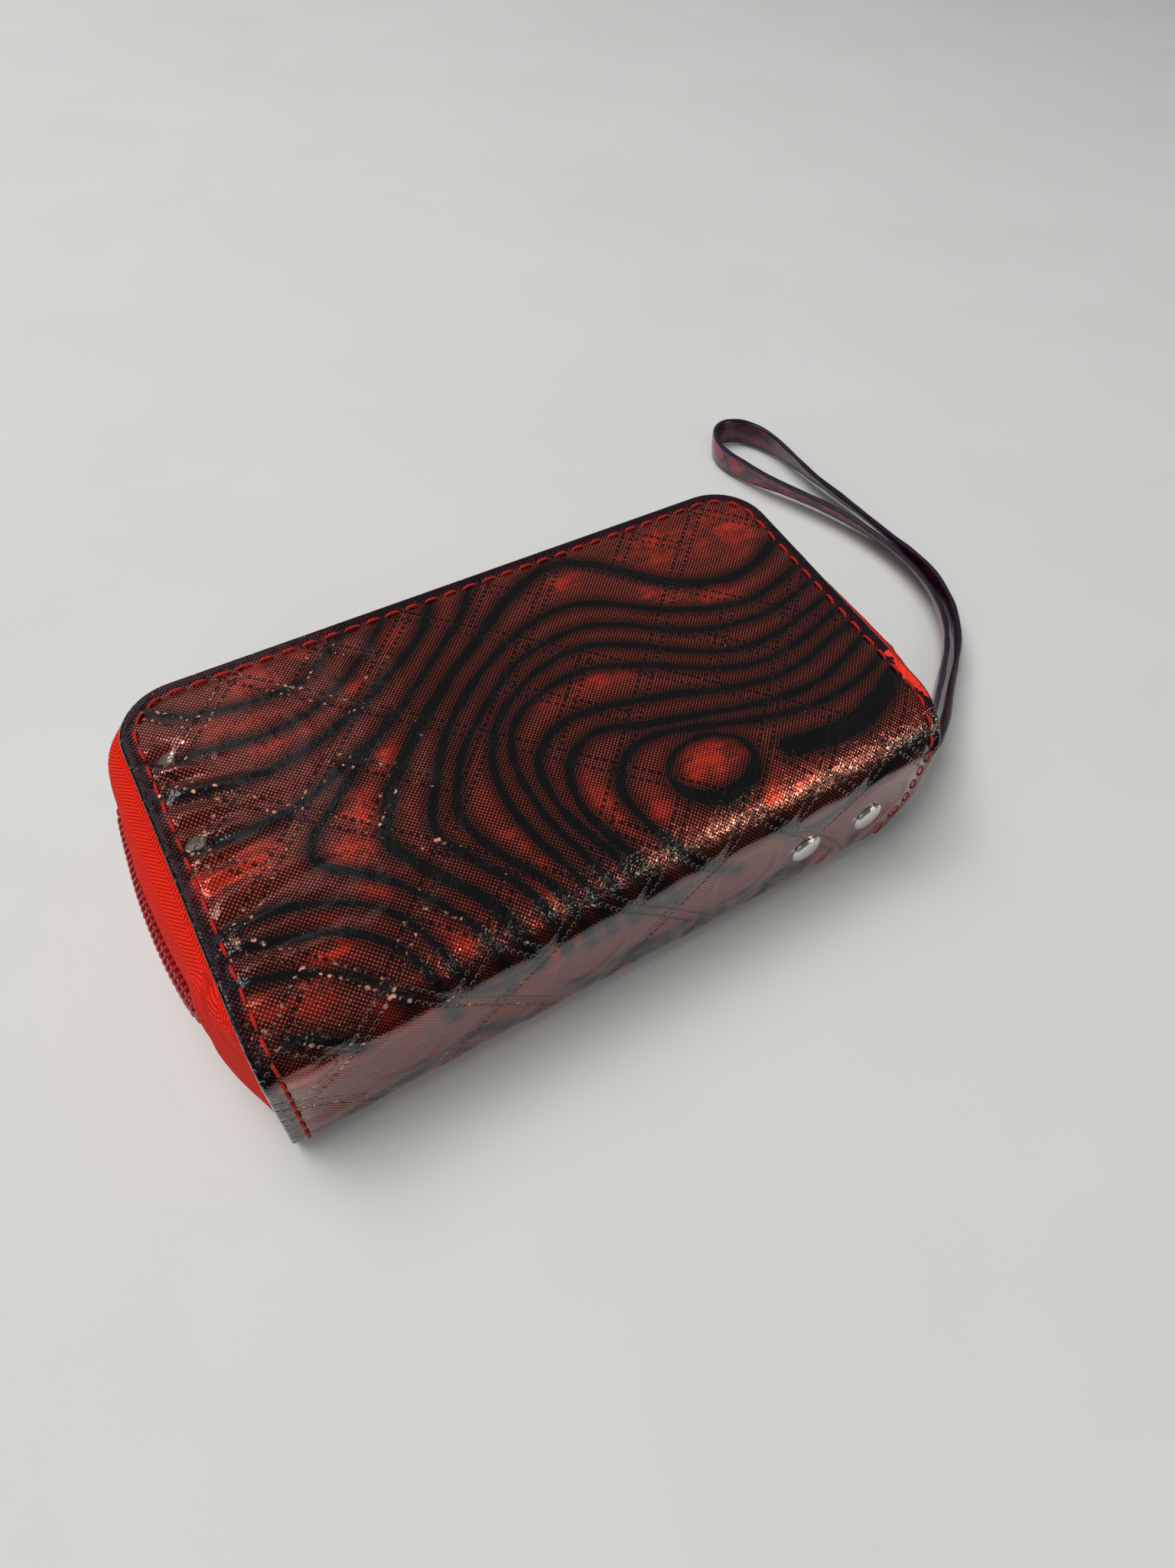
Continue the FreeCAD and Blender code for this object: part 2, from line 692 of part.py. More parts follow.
def build_sliders():
    """Main slider upright on the right end, pull up; pouch slider turned over, pull down."""
    body, pull = slider("main", "coil_thickness / 2", "tape / 2")
    for thing, label in ((body, "zip_slider_body"), (pull, "zip_pull_tab")):
        place(thing, "(panel_half + tape_out)", "slider_rest", "mid")
        finish(thing, label)
    body, pull = slider("coin", "coin_coil / 2", "coin_tape / 2")
    for thing, label in ((body, "pouch_slider_body"), (pull, "pouch_pull_tab")):
        thing.Placement.Rotation = FreeCAD.Rotation(FreeCAD.Vector(1, 1, 0), 180)
        place(thing, "coin_slider_rest", "mouth", "mid")
        finish(thing, label)


# ---- card slots ---------------------------------------------------------------------------------


def card_slots(upper):
    """Three stepped sheets on one lining, each held off the next by sewn welts."""
    side = "upper" if upper else "lower"
    wide = ("0 - card_half - welt", "card_half + welt")
    welts = []
    for step in range(3):
        mouth = f"first_mouth - {step} * mouth_step"
        depth = f"{step} * (card_sheet + card_play)"
        welt_near = f"({depth})"
        sheet_near = f"({depth} + card_play)"
        sheet_far = f"({depth} + card_play + card_sheet)"
        if upper:
            welt_up = (f"ceiling - {sheet_near}", f"ceiling - {welt_near}")
            sheet_up = (f"ceiling - {sheet_far}", f"ceiling - {sheet_near}")
        else:
            welt_up = (f"floor + {welt_near}", f"floor + {sheet_near}")
            sheet_up = (f"floor + {sheet_near}", f"floor + {sheet_far}")
        finish(block(wide, ("slot_front", mouth), sheet_up), f"{side}_card_slot_{step + 1}")
        welts.append(block(("0 - card_half - welt", "0 - card_half"), ("slot_front", mouth), welt_up))
        welts.append(block(("card_half", "card_half + welt"), ("slot_front", mouth), welt_up))
        closed = ("slot_front", "slot_front + welt")
        between = ("0 - card_half + welt_gap", "card_half - welt_gap")
        welts.append(block(between, closed, welt_up))
    finish(grouped(welts), f"{side}_slot_welts")


# ---- coin pouch ---------------------------------------------------------------------------------


def build_pouch():
    """A flat zipped pouch that hangs on the spine like a middle page."""
    inner_half = "(pouch_half - pouch_wall)"
    full = ("0 - pouch_half", "pouch_half")
    depth = ("pouch_front", "pouch_back")
    inside = ("pouch_low + pouch_wall", "pouch_high - pouch_wall")
    finish(block(full, depth, ("pouch_low", "pouch_low + pouch_wall")), "pouch_lower_wall")
    finish(block(full, depth, ("pouch_high - pouch_wall", "pouch_high")), "pouch_upper_wall")
    sides = [
        block(("0 - pouch_half", f"0 - {inner_half}"), depth, inside),
        block((inner_half, "pouch_half"), depth, inside),
    ]
    finish(grouped(sides), "pouch_side_walls")
    fold = block(
        (f"0 - {inner_half}", inner_half), ("pouch_front", "pouch_front + pouch_wall"), inside
    )
    finish(fold, "pouch_fold")
    strip_wide = ("0 - strip_left", "strip_right")
    strip_up = ("mid - strip / 2", "mid + strip / 2")
    spine_side = block(strip_wide, ("floor", "page_axis - page_gap"), strip_up)
    pouch_side = block(strip_wide, ("page_axis + page_gap", "pouch_front"), strip_up)
    finish(spine_side, "page_strip_spine_side")
    finish(pouch_side, "page_strip_pouch_side")
    coil_deep = ("mouth - coin_coil / 2", "mouth + coin_coil / 2")
    tape_deep = ("pouch_back", "pouch_back + coin_tape")
    near = "(coin_chain_gap / 2)"
    far = "(coin_chain_gap / 2 + coin_coil_width)"
    wide = (f"0 - {inner_half}", inner_half)
    finish(block(wide, coil_deep, (f"mid + {near}", f"mid + {far}")), "pouch_upper_coil")
    finish(block(wide, coil_deep, (f"mid - {far}", f"mid - {near}")), "pouch_lower_coil")
    finish(block(wide, tape_deep, (f"mid + {far}", "pouch_high")), "pouch_upper_tape")
    finish(block(wide, tape_deep, ("pouch_low", f"mid - {far}")), "pouch_lower_tape")


# ---- wrist strap --------------------------------------------------------------------------------


def strap_path(points):
    """Straight runs joined by tangent arcs, each as large as its two runs allow."""
    runs = [points[i + 1] - points[i] for i in range(len(points) - 1)]
    edges = []
    radii = []
    start = points[0]
    for before, after, corner in zip(runs, runs[1:], points[1:]):
        turn = before.getAngle(after)
        reach = ARC_SHARE * min(before.Length, after.Length)
        radii.append(reach / math.tan(turn / 2))
        into = FreeCAD.Vector(before).normalize()
        out = FreeCAD.Vector(after).normalize()
        arc_start = corner - into * reach
        arc_end = corner + out * reach
        inward = (out - into).normalize()
        sagitta = radii[-1] / math.cos(turn / 2) - radii[-1]
        middle = corner + inward * sagitta
        edges.append(Part.LineSegment(start, arc_start).toShape())
        edges.append(Part.Arc(arc_start, middle, arc_end).toShape())
        start = arc_end
    edges.append(Part.LineSegment(start, points[-1]).toShape())
    return Part.Wire(edges), radii


def build_strap():
    """The loop as a plain band that stands on its edge, swept along the route."""
    route = [FreeCAD.Vector(*point) for point in STRAP_ROUTE]
    path, radii = strap_path(route)
    half_thick = dims.strap_thickness / 2
    half_wide = dims.strap_width / 2
    first = (route[1] - route[0]).normalize()
    sideways = FreeCAD.Vector(0, 0, 1).cross(first).normalize()
    up = first.cross(sideways)
    corners = [
        route[0] + sideways * (half_thick * a) + up * (half_wide * b)
        for a, b in ((-1, -1), (1, -1), (1, 1), (-1, 1), (-1, -1))
    ]
    strap = doc.addObject("Part::Feature", "Strap")
    strap.Shape = path.makePipe(Part.Face(Part.Wire(Part.makePolygon(corners))))
    place(strap)
    finish(strap, "wrist_strap")
    section = dims.strap_thickness * dims.strap_width
    print(f"strap length {path.Length:.1f} mm, radii {[round(r, 1) for r in radii]}")
    print(f"strap volume {strap.Shape.Volume:.0f} of {section * path.Length:.0f} mm3")


def check_and_export():
    """Stops on any failed object, then writes each sub-part to its own file."""
    doc.recompute()
    for thing in doc.Objects:
        if set(thing.State) & {"Invalid", "Error"}:
            raise RuntimeError(f"{thing.Name} ({thing.Label}) failed: {thing.State}")
    for thing in finished:
        if thing.Shape.isNull() or not thing.Shape.isValid() or not thing.Shape.Solids:
            raise RuntimeError(f"{thing.Label} has no valid solid")
    os.makedirs(PARTS_FOLDER, exist_ok=True)
    for thing in finished:
        thing.Shape.exportStep(os.path.join(PARTS_FOLDER, thing.Label + ".step"))
    print(f"{len(finished)} sub-parts")


fill_sheet()
build_cover()
build_rivets()
build_main_zip()
build_sliders()
card_slots(upper=True)
card_slots(upper=False)
build_pouch()
build_strap()
check_and_export()
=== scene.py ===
"""Looks of the zip around wallet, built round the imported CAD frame.

Shapes are worked out in millimetres and written in metres. The cover is one wrap of patent skin, so
it is drawn flat: x runs along the spine and t runs round the outside, from the top panel's far edge
over the ridge, down the spine, round the base and back under the bottom panel.
"""

import math
import random

import bmesh
import bpy
import numpy as np
from mathutils import Matrix, Vector, noise


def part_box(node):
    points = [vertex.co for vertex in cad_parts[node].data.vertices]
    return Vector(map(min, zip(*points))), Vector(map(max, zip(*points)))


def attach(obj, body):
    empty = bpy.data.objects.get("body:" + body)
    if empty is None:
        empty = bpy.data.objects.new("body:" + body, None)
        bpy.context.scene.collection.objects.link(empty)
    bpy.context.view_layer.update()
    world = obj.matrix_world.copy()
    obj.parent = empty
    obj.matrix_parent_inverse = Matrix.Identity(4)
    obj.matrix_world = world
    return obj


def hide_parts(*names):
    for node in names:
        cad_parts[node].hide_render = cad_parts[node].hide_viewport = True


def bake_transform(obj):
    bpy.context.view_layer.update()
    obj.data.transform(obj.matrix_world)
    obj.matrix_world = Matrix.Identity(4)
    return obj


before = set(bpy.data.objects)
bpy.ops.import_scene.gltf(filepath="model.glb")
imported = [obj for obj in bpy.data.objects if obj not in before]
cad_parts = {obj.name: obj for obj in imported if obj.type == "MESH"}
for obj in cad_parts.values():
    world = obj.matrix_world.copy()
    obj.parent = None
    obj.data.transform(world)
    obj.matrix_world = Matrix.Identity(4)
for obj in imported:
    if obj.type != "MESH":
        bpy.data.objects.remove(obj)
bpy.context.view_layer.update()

MM = 0.001
TURN = 2 * math.pi
dice = random.Random(7)

# ---- places read from the frame, in millimetres -------------------------------------------------

def box_mm(node):
    """A CAD node's lowest and highest corners, in millimetres."""
    low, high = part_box(node)
    return np.array(low) / MM, np.array(high) / MM

skin_low, skin_high = box_mm("top_cover_skin")
LEFT, RIGHT = skin_low[0], skin_high[0]
FRONT, BACK = box_mm("spine_skin")[0][1], skin_high[1]
BASE, STACK = box_mm("bottom_cover_skin")[0][2], skin_high[2]
MIDDLE_X = (LEFT + RIGHT) / 2
HALF = (RIGHT - LEFT) / 2
DEPTH = BACK - FRONT
MID_Z = (BASE + STACK) / 2

# The cover's own sizes, as in the CAD model.
RIDGE_RADIUS = 9.5
BASE_RADIUS = 5.0
CORNER_RADIUS = 9.7
SKIN = 1.3
STITCH_INSET = 2.4
EDGE_RADIUS = 0.5  # rounding of the edges of the skin and of thick soft sheets
SPLIT_Z = 14.0
QUARTER = math.pi / 2
UPPER_WRAP = DEPTH - RIDGE_RADIUS + QUARTER * RIDGE_RADIUS + STACK - RIDGE_RADIUS - SPLIT_Z
LOWER_WRAP = DEPTH - BASE_RADIUS + QUARTER * BASE_RADIUS + SPLIT_Z - BASE_RADIUS
WHOLE_WRAP = UPPER_WRAP + LOWER_WRAP

# ---- node-tree arithmetic -----------------------------------------------------------------------

class Field:
    """A number in a material's node tree. Arithmetic on it adds Math nodes."""

    def __init__(self, tree, socket):
        self.tree = tree
        self.socket = socket

    def math(self, operation, *others):
        node = self.tree.nodes.new("ShaderNodeMath")
        node.operation = operation
        for slot, value in zip(node.inputs, (self, *others)):
            feed(self.tree, value, slot)
        return Field(self.tree, node.outputs[0])

    def __add__(self, other):
        return self.math("ADD", other)

    def __sub__(self, other):
        return self.math("SUBTRACT", other)

    def __mul__(self, other):
        return self.math("MULTIPLY", other)

    def __truediv__(self, other):
        return self.math("DIVIDE", other)

    def wave(self, period):
        """Runs from 0 to 1 and back once in every period."""
        return (self * (TURN / period)).math("COSINE") * 0.5 + 0.5

    def off_line(self, spacing):
        """Distance from the nearest of the lines that lie spacing apart, one of them at 0."""
        return self.math("PINGPONG", spacing / 2)

    def ramp(self, low, high, to_low=0.0, to_high=1.0):
        """Smooth step from low to high."""
        node = self.tree.nodes.new("ShaderNodeMapRange")
        node.interpolation_type = "SMOOTHSTEP"
        values = (self, low, high, to_low, to_high)
        for slot, value in zip(node.inputs, values):
            feed(self.tree, value, slot)
        return Field(self.tree, node.outputs[0])

def feed(tree, value, slot):
    """Links a field to a socket, or sets the socket to a plain value."""
    if isinstance(value, Field):
        tree.links.new(value.socket, slot)
    else:
        slot.default_value = value

class Material:
    """A Principled material with short ways to add fields to it."""

    def __init__(self, name, **plain):
        self.name = name
        self.data = bpy.data.materials.new(name)
        self.data.use_nodes = True
        self.tree = self.data.node_tree
        self.shader = self.tree.nodes["Principled BSDF"]
        for socket, value in plain.items():
            self.set(socket, value)

    def set(self, socket, value):
        """Sets a shader input by name, with underscores for spaces; a colour is given as r, g, b."""
        slot = self.shader.inputs[socket.replace("_", " ")]
        feed(self.tree, rgba(value), slot)

    def add(self, kind, output=0, **inputs):
        """Adds a node and returns one of its outputs as a field."""
        node = self.tree.nodes.new("ShaderNode" + kind)
        for socket, value in inputs.items():
            feed(self.tree, rgba(value), node.inputs[socket.replace("_", " ")])
        return Field(self.tree, node.outputs[output])

    def attribute(self, name):
        """A vertex attribute: its first three numbers as fields."""
        node = self.tree.nodes.new("ShaderNodeAttribute")
        node.attribute_name = name
        return self.split(Field(self.tree, node.outputs["Vector"]))

    def place(self):
        """The place on the object, as one vector field in metres."""
        return self.add("TexCoord", "Object")

    def split(self, vector):
        node = self.tree.nodes.new("ShaderNodeSeparateXYZ")
        feed(self.tree, vector, node.inputs[0])
        return [Field(self.tree, output) for output in node.outputs]

    def join(self, x, y, z):
        return self.add("CombineXYZ", X=x, Y=y, Z=z)

    def noise(self, scale, detail=3.0, vector=None, roughness=0.55):
        """Noise with grains of about 1 / scale, from 0 to 1."""
        at = vector or self.place()
        return self.add("TexNoise", Vector=at, Scale=scale, Detail=detail, Roughness=roughness)

    def mix(self, factor, first, second):
        """A colour between two."""
        node = self.tree.nodes.new("ShaderNodeMix")
        node.data_type = "RGBA"
        feed(self.tree, factor, node.inputs[0])
        feed(self.tree, rgba(first), node.inputs[6])
        feed(self.tree, rgba(second), node.inputs[7])
        return Field(self.tree, node.outputs[2])

    def bump(self, height, coat=False):
        """Tilts the shading by a height field in millimetres."""
        tilted = self.add("Bump", Height=height, Distance=MM)
        self.set("Normal", tilted)
        if coat:
            self.set("Coat_Normal", tilted)

def rgba(value):
    return (*value, 1.0) if isinstance(value, tuple) and len(value) == 3 else value

# ---- meshes -------------------------------------------------------------------------------------

def new_piece(name, points, faces, *materials):
    """A mesh object from points in millimetres."""
    mesh = bpy.data.meshes.new(name)
    mesh.from_pydata([tuple(p) for p in np.asarray(points) * MM], [], faces)
    mesh.polygons.foreach_set("use_smooth", [True] * len(mesh.polygons))
    piece = bpy.data.objects.new(name, mesh)
    bpy.context.scene.collection.objects.link(piece)
    for material in materials:
        mesh.materials.append(material.data)
    mesh.update()
    return piece

def set_attribute(piece, name, values):
    """Keeps three numbers on every point for the material."""
    layer = piece.data.attributes.new(name, "FLOAT_VECTOR", "POINT")
    layer.data.foreach_set("vector", np.asarray(values, dtype=np.float32).ravel())

def tube_faces(rings, sides, capped=True):
    """Faces of a tube of rings of sides points each."""
    faces = []
    for i in range(rings - 1):
        for j in range(sides):
            a, b = i * sides + j, i * sides + (j + 1) % sides
            faces.append((a, b, b + sides, a + sides))
    if capped:
        faces.append(tuple(reversed(range(sides))))
        faces.append(tuple(range((rings - 1) * sides, rings * sides)))
    return faces

def tube(points, radii, sides, up=(0.0, 0.0, 1.0), flat=1.0):
    """Rings of a tube along points. flat scales it across up."""
    points = np.asarray(points, float)
    along = np.gradient(points, axis=0)
    along /= np.linalg.norm(along, axis=1)[:, None]
    side = np.cross(along, np.broadcast_to(up, along.shape))
    side /= np.linalg.norm(side, axis=1)[:, None] + 1e-9
    rise = np.cross(side, along)
    angle = np.arange(sides) * TURN / sides
    radii = np.broadcast_to(np.asarray(radii, float), (len(points),))
    ring = side[:, None] * np.cos(angle)[None, :, None] + flat * rise[:, None] * np.sin(angle)[None, :, None]
    return (points[:, None] + ring * radii[:, None, None]).reshape(-1, 3)

def smooth_line(points, steps):
    """A Catmull-Rom line through given points, steps to a stretch."""
    p = np.asarray(points, float)
    p = np.vstack([2 * p[0] - p[1], p, 2 * p[-1] - p[-2]])
    line = []
    for a, b, c, d in zip(p, p[1:], p[2:], p[3:]):
        for k in range(steps):
            f = k / steps
            square, cube = 2 * a - 5 * b + 4 * c - d, 3 * b - a - 3 * c + d
            line.append(0.5 * (2 * b + (c - a) * f + square * f**2 + cube * f**3))
    line.append(p[-2])
    return np.array(line)

def soft_table(rows, at):
    """Values between a table's rows, with its corners rounded off."""
    table = np.array(rows, float)
    fine = np.arange(table[0, 0], table[-1, 0], 0.5)
    values = np.pad(np.interp(fine, table[:, 0], table[:, 1]), 9, mode="edge")
    return np.interp(at, fine, np.convolve(values, np.ones(19) / 19, mode="valid"))

def travel_along(points):
    """Distance along a line of points at each of them."""
    return np.concatenate([[0], np.cumsum(np.linalg.norm(np.diff(points, axis=0), axis=1))])

def noise_at(a, b, layer):
    """Smooth noise, from -1 to 1, for every pair of places in two arrays."""
    pairs = zip(np.ravel(a), np.ravel(b))
    return np.array([noise.noise((p, q, layer)) for p, q in pairs]).reshape(np.shape(a))

def sheet_faces(n, m, flipped=False):
    """Faces of a closed sheet: n by m points on one side, as many on the other, and its rim."""
    index = np.arange(n * m).reshape(n, m)
    corners = (index[:-1, :-1], index[1:, :-1], index[1:, 1:], index[:-1, 1:])
    top = np.column_stack([corner.ravel() for corner in corners])
    rim = np.concatenate([index[0, ::-1], index[1:, 0], index[-1, 1:], index[-2:0:-1, -1]])
    after = np.roll(rim, -1)
    wall = np.column_stack([after, rim, rim + n * m, after + n * m])
    if flipped:
        top, wall = top[:, [0, 3, 2, 1]], wall[:, ::-1]
    return np.vstack([top, top[:, ::-1] + n * m, wall])

def gauss(away, width):
    """A bell of height 1."""
    return np.exp(-((away / width) ** 2))

def smooth_step(value, low, high):
    f = np.clip((value - low) / (high - low), 0, 1)
    return f * f * (3 - 2 * f)

# ---- the cover's shape --------------------------------------------------------------------------

def reach(t):
    """Half the sheet's width at t from a panel's far edge, with its rounded corners."""
    into = np.clip(CORNER_RADIUS - t, 0, None)
    return HALF - CORNER_RADIUS + np.sqrt(np.maximum(CORNER_RADIUS**2 - into**2, 0))

def edge_distance(x, t):
    """How far inside the sheet's own edge a place is."""
    side = np.abs(x - MIDDLE_X)
    over = side - (HALF - CORNER_RADIUS)
    back = CORNER_RADIUS - t
    corner = CORNER_RADIUS - np.hypot(over, back)
    return np.where((over > 0) & (back > 0), corner, np.minimum(HALF - side, t))

PINCH = 6.0  # how far the spine's lower right corner is drawn in
PINCH_TOP = 13.0  # height at which that starts
PINCH_LENGTH = 26.0  # how far it reaches towards the left
LEFT_LIFT = 0.9  # how far the top panel's far corners are lifted: the panel is a little twisted
RIGHT_LIFT = 4.9
RIDGE_DROP = 0.4  # and how low it lies along the ridge
FLARE = 2.3  # how far its far right corner stands out to the right

def flare(x, y, z):
    """How far a place near the far right corner is moved to the right."""
    across = np.clip((x - MIDDLE_X) / HALF, 0, 1.05) ** 2
    return FLARE * across * np.clip((y - FRONT) / DEPTH, 0, 1) * smooth_step(z, MID_Z + 2, STACK)

def crown_shift(x, y, z):
    """How far the upper half of the wallet is lifted or lowered at a place."""
    lift = LEFT_LIFT + (RIGHT_LIFT - LEFT_LIFT) * np.clip((x - LEFT) / (RIGHT - LEFT), 0, 1)
    tilt = (lift + RIDGE_DROP) * np.clip((y - FRONT) / DEPTH, 0, 1) - RIDGE_DROP
    return tilt * smooth_step(z, MID_Z, STACK)

def wrap_place(upper, x, t, out):
    """Points of the wrap at (x, t from this half's far edge), out from its outer face."""
    radius = RIDGE_RADIUS if upper else BASE_RADIUS
    face = STACK if upper else BASE
    side = 1 if upper else -1
    flat = DEPTH - radius
    angle = np.clip((t - flat) / radius, 0, QUARTER)
    down = np.clip(t - flat - radius * QUARTER, 0, None)
    y = BACK - np.minimum(t, flat) - radius * np.sin(angle) - out * np.sin(angle)
    z = face - side * (radius * (1 - np.cos(angle)) + down) + side * out * np.cos(angle)
    low = smooth_step(PINCH_TOP - z, 0, PINCH_TOP) * smooth_step(FRONT + PINCH_LENGTH - y, 0, PINCH_LENGTH)
    x = x - PINCH * low * smooth_step(x, RIGHT - PINCH_LENGTH, RIGHT)
    x = x + flare(x, y, z)
    if upper:
        z = z + crown_shift(x, y, z)
    return np.stack([x, y, z], axis=-1)

# ---- quilting, creases and print ----------------------------------------------------------------

QUILT = 20.86  # side of a large quilted diamond, across its rows
QUILT_RISE = 81.0 / math.sqrt(2)  # where a row that rises to the right crosses
QUILT_FALL = -44.25 / math.sqrt(2)  # where a row that falls to the right crosses
ROW_GAP = 0.87  # half the gap between the two rows of holes
HOLE_PITCH = 1.22
GRID = 2 * HALF / 150  # the print is drawn on a grid of 150 squares along the wallet
WRAP_ROWS = WHOLE_WRAP / GRID
COVER_STEP = 0.55  # distance between the rows of points of the cover's mesh

# Dark bands of the print on the top panel and over the spine, on the grid: half width, then points.
BANDS = [
    (0.9, [(50, 2), (45, 5), (40, 9), (35, 12), (28, 13), (20, 12.5), (13, 10.5), (6, 6)]),
    (0.9, [(57, 3), (50, 10), (45, 14), (40, 17.5), (33, 20.5), (25, 22), (15, 21), (3, 19)]),
    (1.2, [(69, 0), (65, 7), (60, 12.5), (50, 19.5), (40, 25), (30, 29), (20, 30.5), (10, 29), (1, 27)]),
    (1.1, [(79, 0), (75, 6), (70, 11.5), (55, 23.5), (45, 31), (35, 35.5), (25, 40), (15, 41.5), (4, 40)]),
    (1.0, [
        (47, 28), (40, 34.5), (30, 42.5), (22.5, 49.5), (23, 55), (30, 61), (37, 71), (42, 81), (44, 96),
    ]),
    (1.5, [
        (150, 20), (144, 23), (138, 26), (130, 27), (122, 25), (115, 20.5), (110, 15), (105, 10),
        (100, 6.5), (95, 5.5), (90, 7), (80, 12), (70, 19), (60, 26), (50, 34.5), (44, 40), (38, 47.5),
        (34.5, 54.5), (36, 60), (40, 67), (46, 78), (50, 92),
    ]),
    (1.2, [
        (150, 29), (140, 33), (130, 35), (120, 33), (110, 28), (100, 21), (93, 18.5), (85, 19),
        (75, 22.5), (65, 28.5), (55, 37), (47, 48), (42.5, 57), (45, 64), (52, 77), (56, 92),
    ]),
    (1.1, [
        (150, 35), (140, 38.3), (130, 40), (120, 39), (110, 35), (100, 28), (92, 25.3), (85, 25.5),
        (75, 28), (65, 34.5), (55, 43.5), (49, 53), (48, 59), (51, 68), (57, 79), (61, 94),
    ]),
    (1.1, [
        (150, 41), (140, 43.5), (130, 46), (120, 46), (110, 42), (100, 35), (92, 31), (85, 30.3),
        (75, 33), (65, 39.3), (59, 48), (57, 57), (58, 69), (62, 80), (66, 94),
    ]),
    (1.1, [
        (150, 45), (140, 48), (130, 50.5), (120, 51), (110, 47.5), (100, 41.5), (92, 37.5), (85, 36),
        (75, 37.5), (67, 42), (62.5, 50), (61.5, 60), (62.5, 70), (66, 80), (71, 94),
    ]),
    (1.2, [
        (150, 50), (140, 52.5), (130, 55.3), (120, 55.7), (110, 53.7), (100, 50.5), (90, 47.5),
        (80, 45.8), (73, 47), (67, 51.5), (65, 59), (65.5, 68), (70, 79), (76, 93),
    ]),
    (1.2, [
        (150, 54), (140, 58), (130, 61), (120, 61), (110, 59.3), (100, 56.7), (90, 54), (84, 51.7),
        (78, 51.5), (71.5, 55.5), (68.7, 63), (69.5, 72), (74, 82), (81, 95),
    ]),
    (1.2, [
        (150, 60), (140, 64), (130, 65.7), (120, 65.3), (110, 63), (100, 59.8), (91, 57.3), (84, 58),
        (78.5, 62.5), (76.8, 69), (79, 77), (86, 87), (96, 95),
    ]),
    (2.6, [(152, 64), (142, 69), (133, 72.5), (124, 73.5), (113, 72)]),
    (1.0, [(2, 59), (12, 59), (20, 61.5), (27, 66), (32, 74), (36, 86)]),
    (1.1, [(2, 62), (10, 64), (20, 67.5), (27, 74), (31, 83), (33, 95)]),
    (1.0, [(2, 68), (12, 71.5), (20, 76), (26, 84)]),
    (1.0, [(6, 80), (12, 83.5), (16, 89)]),
    (1.4, [(36, 89), (43, 91.5), (50, 88)]),
    (1.4, [(71, 90), (77, 93), (83, 91)]),
    (1.6, [(104, 86), (114, 93), (124, 90), (136, 84), (147, 82)]),
]
EYE = (96.3, 69.0)  # the ring of the print: centre, then half axes of its outer and inner edges
EYE_OUTER = (10.6, 8.3)
EYE_INNER = (7.9, 5.5)

# Brighter red places, partly the print's own lighter red and partly painted reflection of the foil: centre on
# the grid, half axes, strength.
PRINT_AND_REFLECTION_PATCHES = [
    (120, 10, 9, 7, 0.75), (137, 13, 9, 8, 0.7), (113, 24, 7, 4, 0.6), (32, 48, 5, 5, 1.0),
    (41, 38, 5, 3, 0.95), (43, 18, 4, 3, 0.5), (28, 54, 5, 4, 0.75), (18, 69, 6, 4, 0.9),
    (8, 48, 8, 4, 0.9), (96, 67, 9, 6, 0.8), (84, 40, 12, 3, 0.6), (55, 66, 3, 10, 0.5),
    (8, 76, 10, 4, 0.9), (72, 66, 4, 10, 0.4), (96, 12, 7, 3, 0.5), (124, 31, 10, 3, 0.5),
    (30, 6, 14, 6, 0.45), (25, 25, 16, 5, 0.3), (22, 17, 14, 4, 0.3), (55, 10, 4, 4, 0.55),
    (30, 63, 8, 3, 0.45), (52, 79, 4, 4, 0.8), (38, 78, 5, 4, 0.6), (80, 74, 4, 6, 0.5),
    (25, 84, 9, 5, 0.6), (6, 88, 8, 6, 0.5), (56, 90, 6, 6, 0.5), (108, 79, 12, 3, 0.55),
]

def quilt_rows(x, t):
    """Distance to the nearest quilting row, whether the diamond has a ring, and how far its centre is."""
    rise = ((x + t) / math.sqrt(2) - QUILT_RISE) / QUILT
    fall = ((x - t) / math.sqrt(2) - QUILT_FALL) / QUILT
    ringed = (np.floor(rise) + np.floor(fall)) % 2 > 0.5
    across = np.minimum(np.abs(rise - np.round(rise)), np.abs(fall - np.round(fall)))
    inner = np.minimum(np.abs(rise % 1 - 0.5), np.abs(fall % 1 - 0.5))
    nearest = np.where(ringed, across, np.minimum(across, inner)) * QUILT
    centre = np.hypot(rise % 1 - 0.5, fall % 1 - 0.5) * QUILT
    return nearest, ringed, centre

cap_low, cap_high = box_mm("rivet_caps")
RIVET_RADIUS = (cap_high[2] - cap_low[2]) / 2
RIVETS_X = (cap_low[0] + RIVET_RADIUS, cap_high[0] - RIVET_RADIUS)
RIVET_Z = (cap_low[2] + cap_high[2]) / 2
RIVET_T = UPPER_WRAP + SPLIT_Z - RIVET_Z
RING_RADIUS = 6.6
RING_HALF = 0.75
CREASES = [
    # Puckers at the left end: where they start on the edge, where they end, length, depth.
    (10, 20, 16, 0.5), (15, 28, 22, 0.8), (22, 31, 26, 0.9), (29, 34, 22, 0.7), (35, 38, 28, 0.7),
    (41, 40, 20, 0.8), (46, 43, 28, 0.8), (52, 46, 22, 0.7), (58, 53, 28, 0.8), (64, 66, 27, 0.9),
    (70, 77, 30, 0.8), (76, 86, 26, 0.5),
]
DENTS = [(6.5, 18, 0.9), (5.5, 39, 1.0)]
LEFT_ROWS = (14.0, 62.0)  # the skin is most puckered left of the first, and hardly right of the second

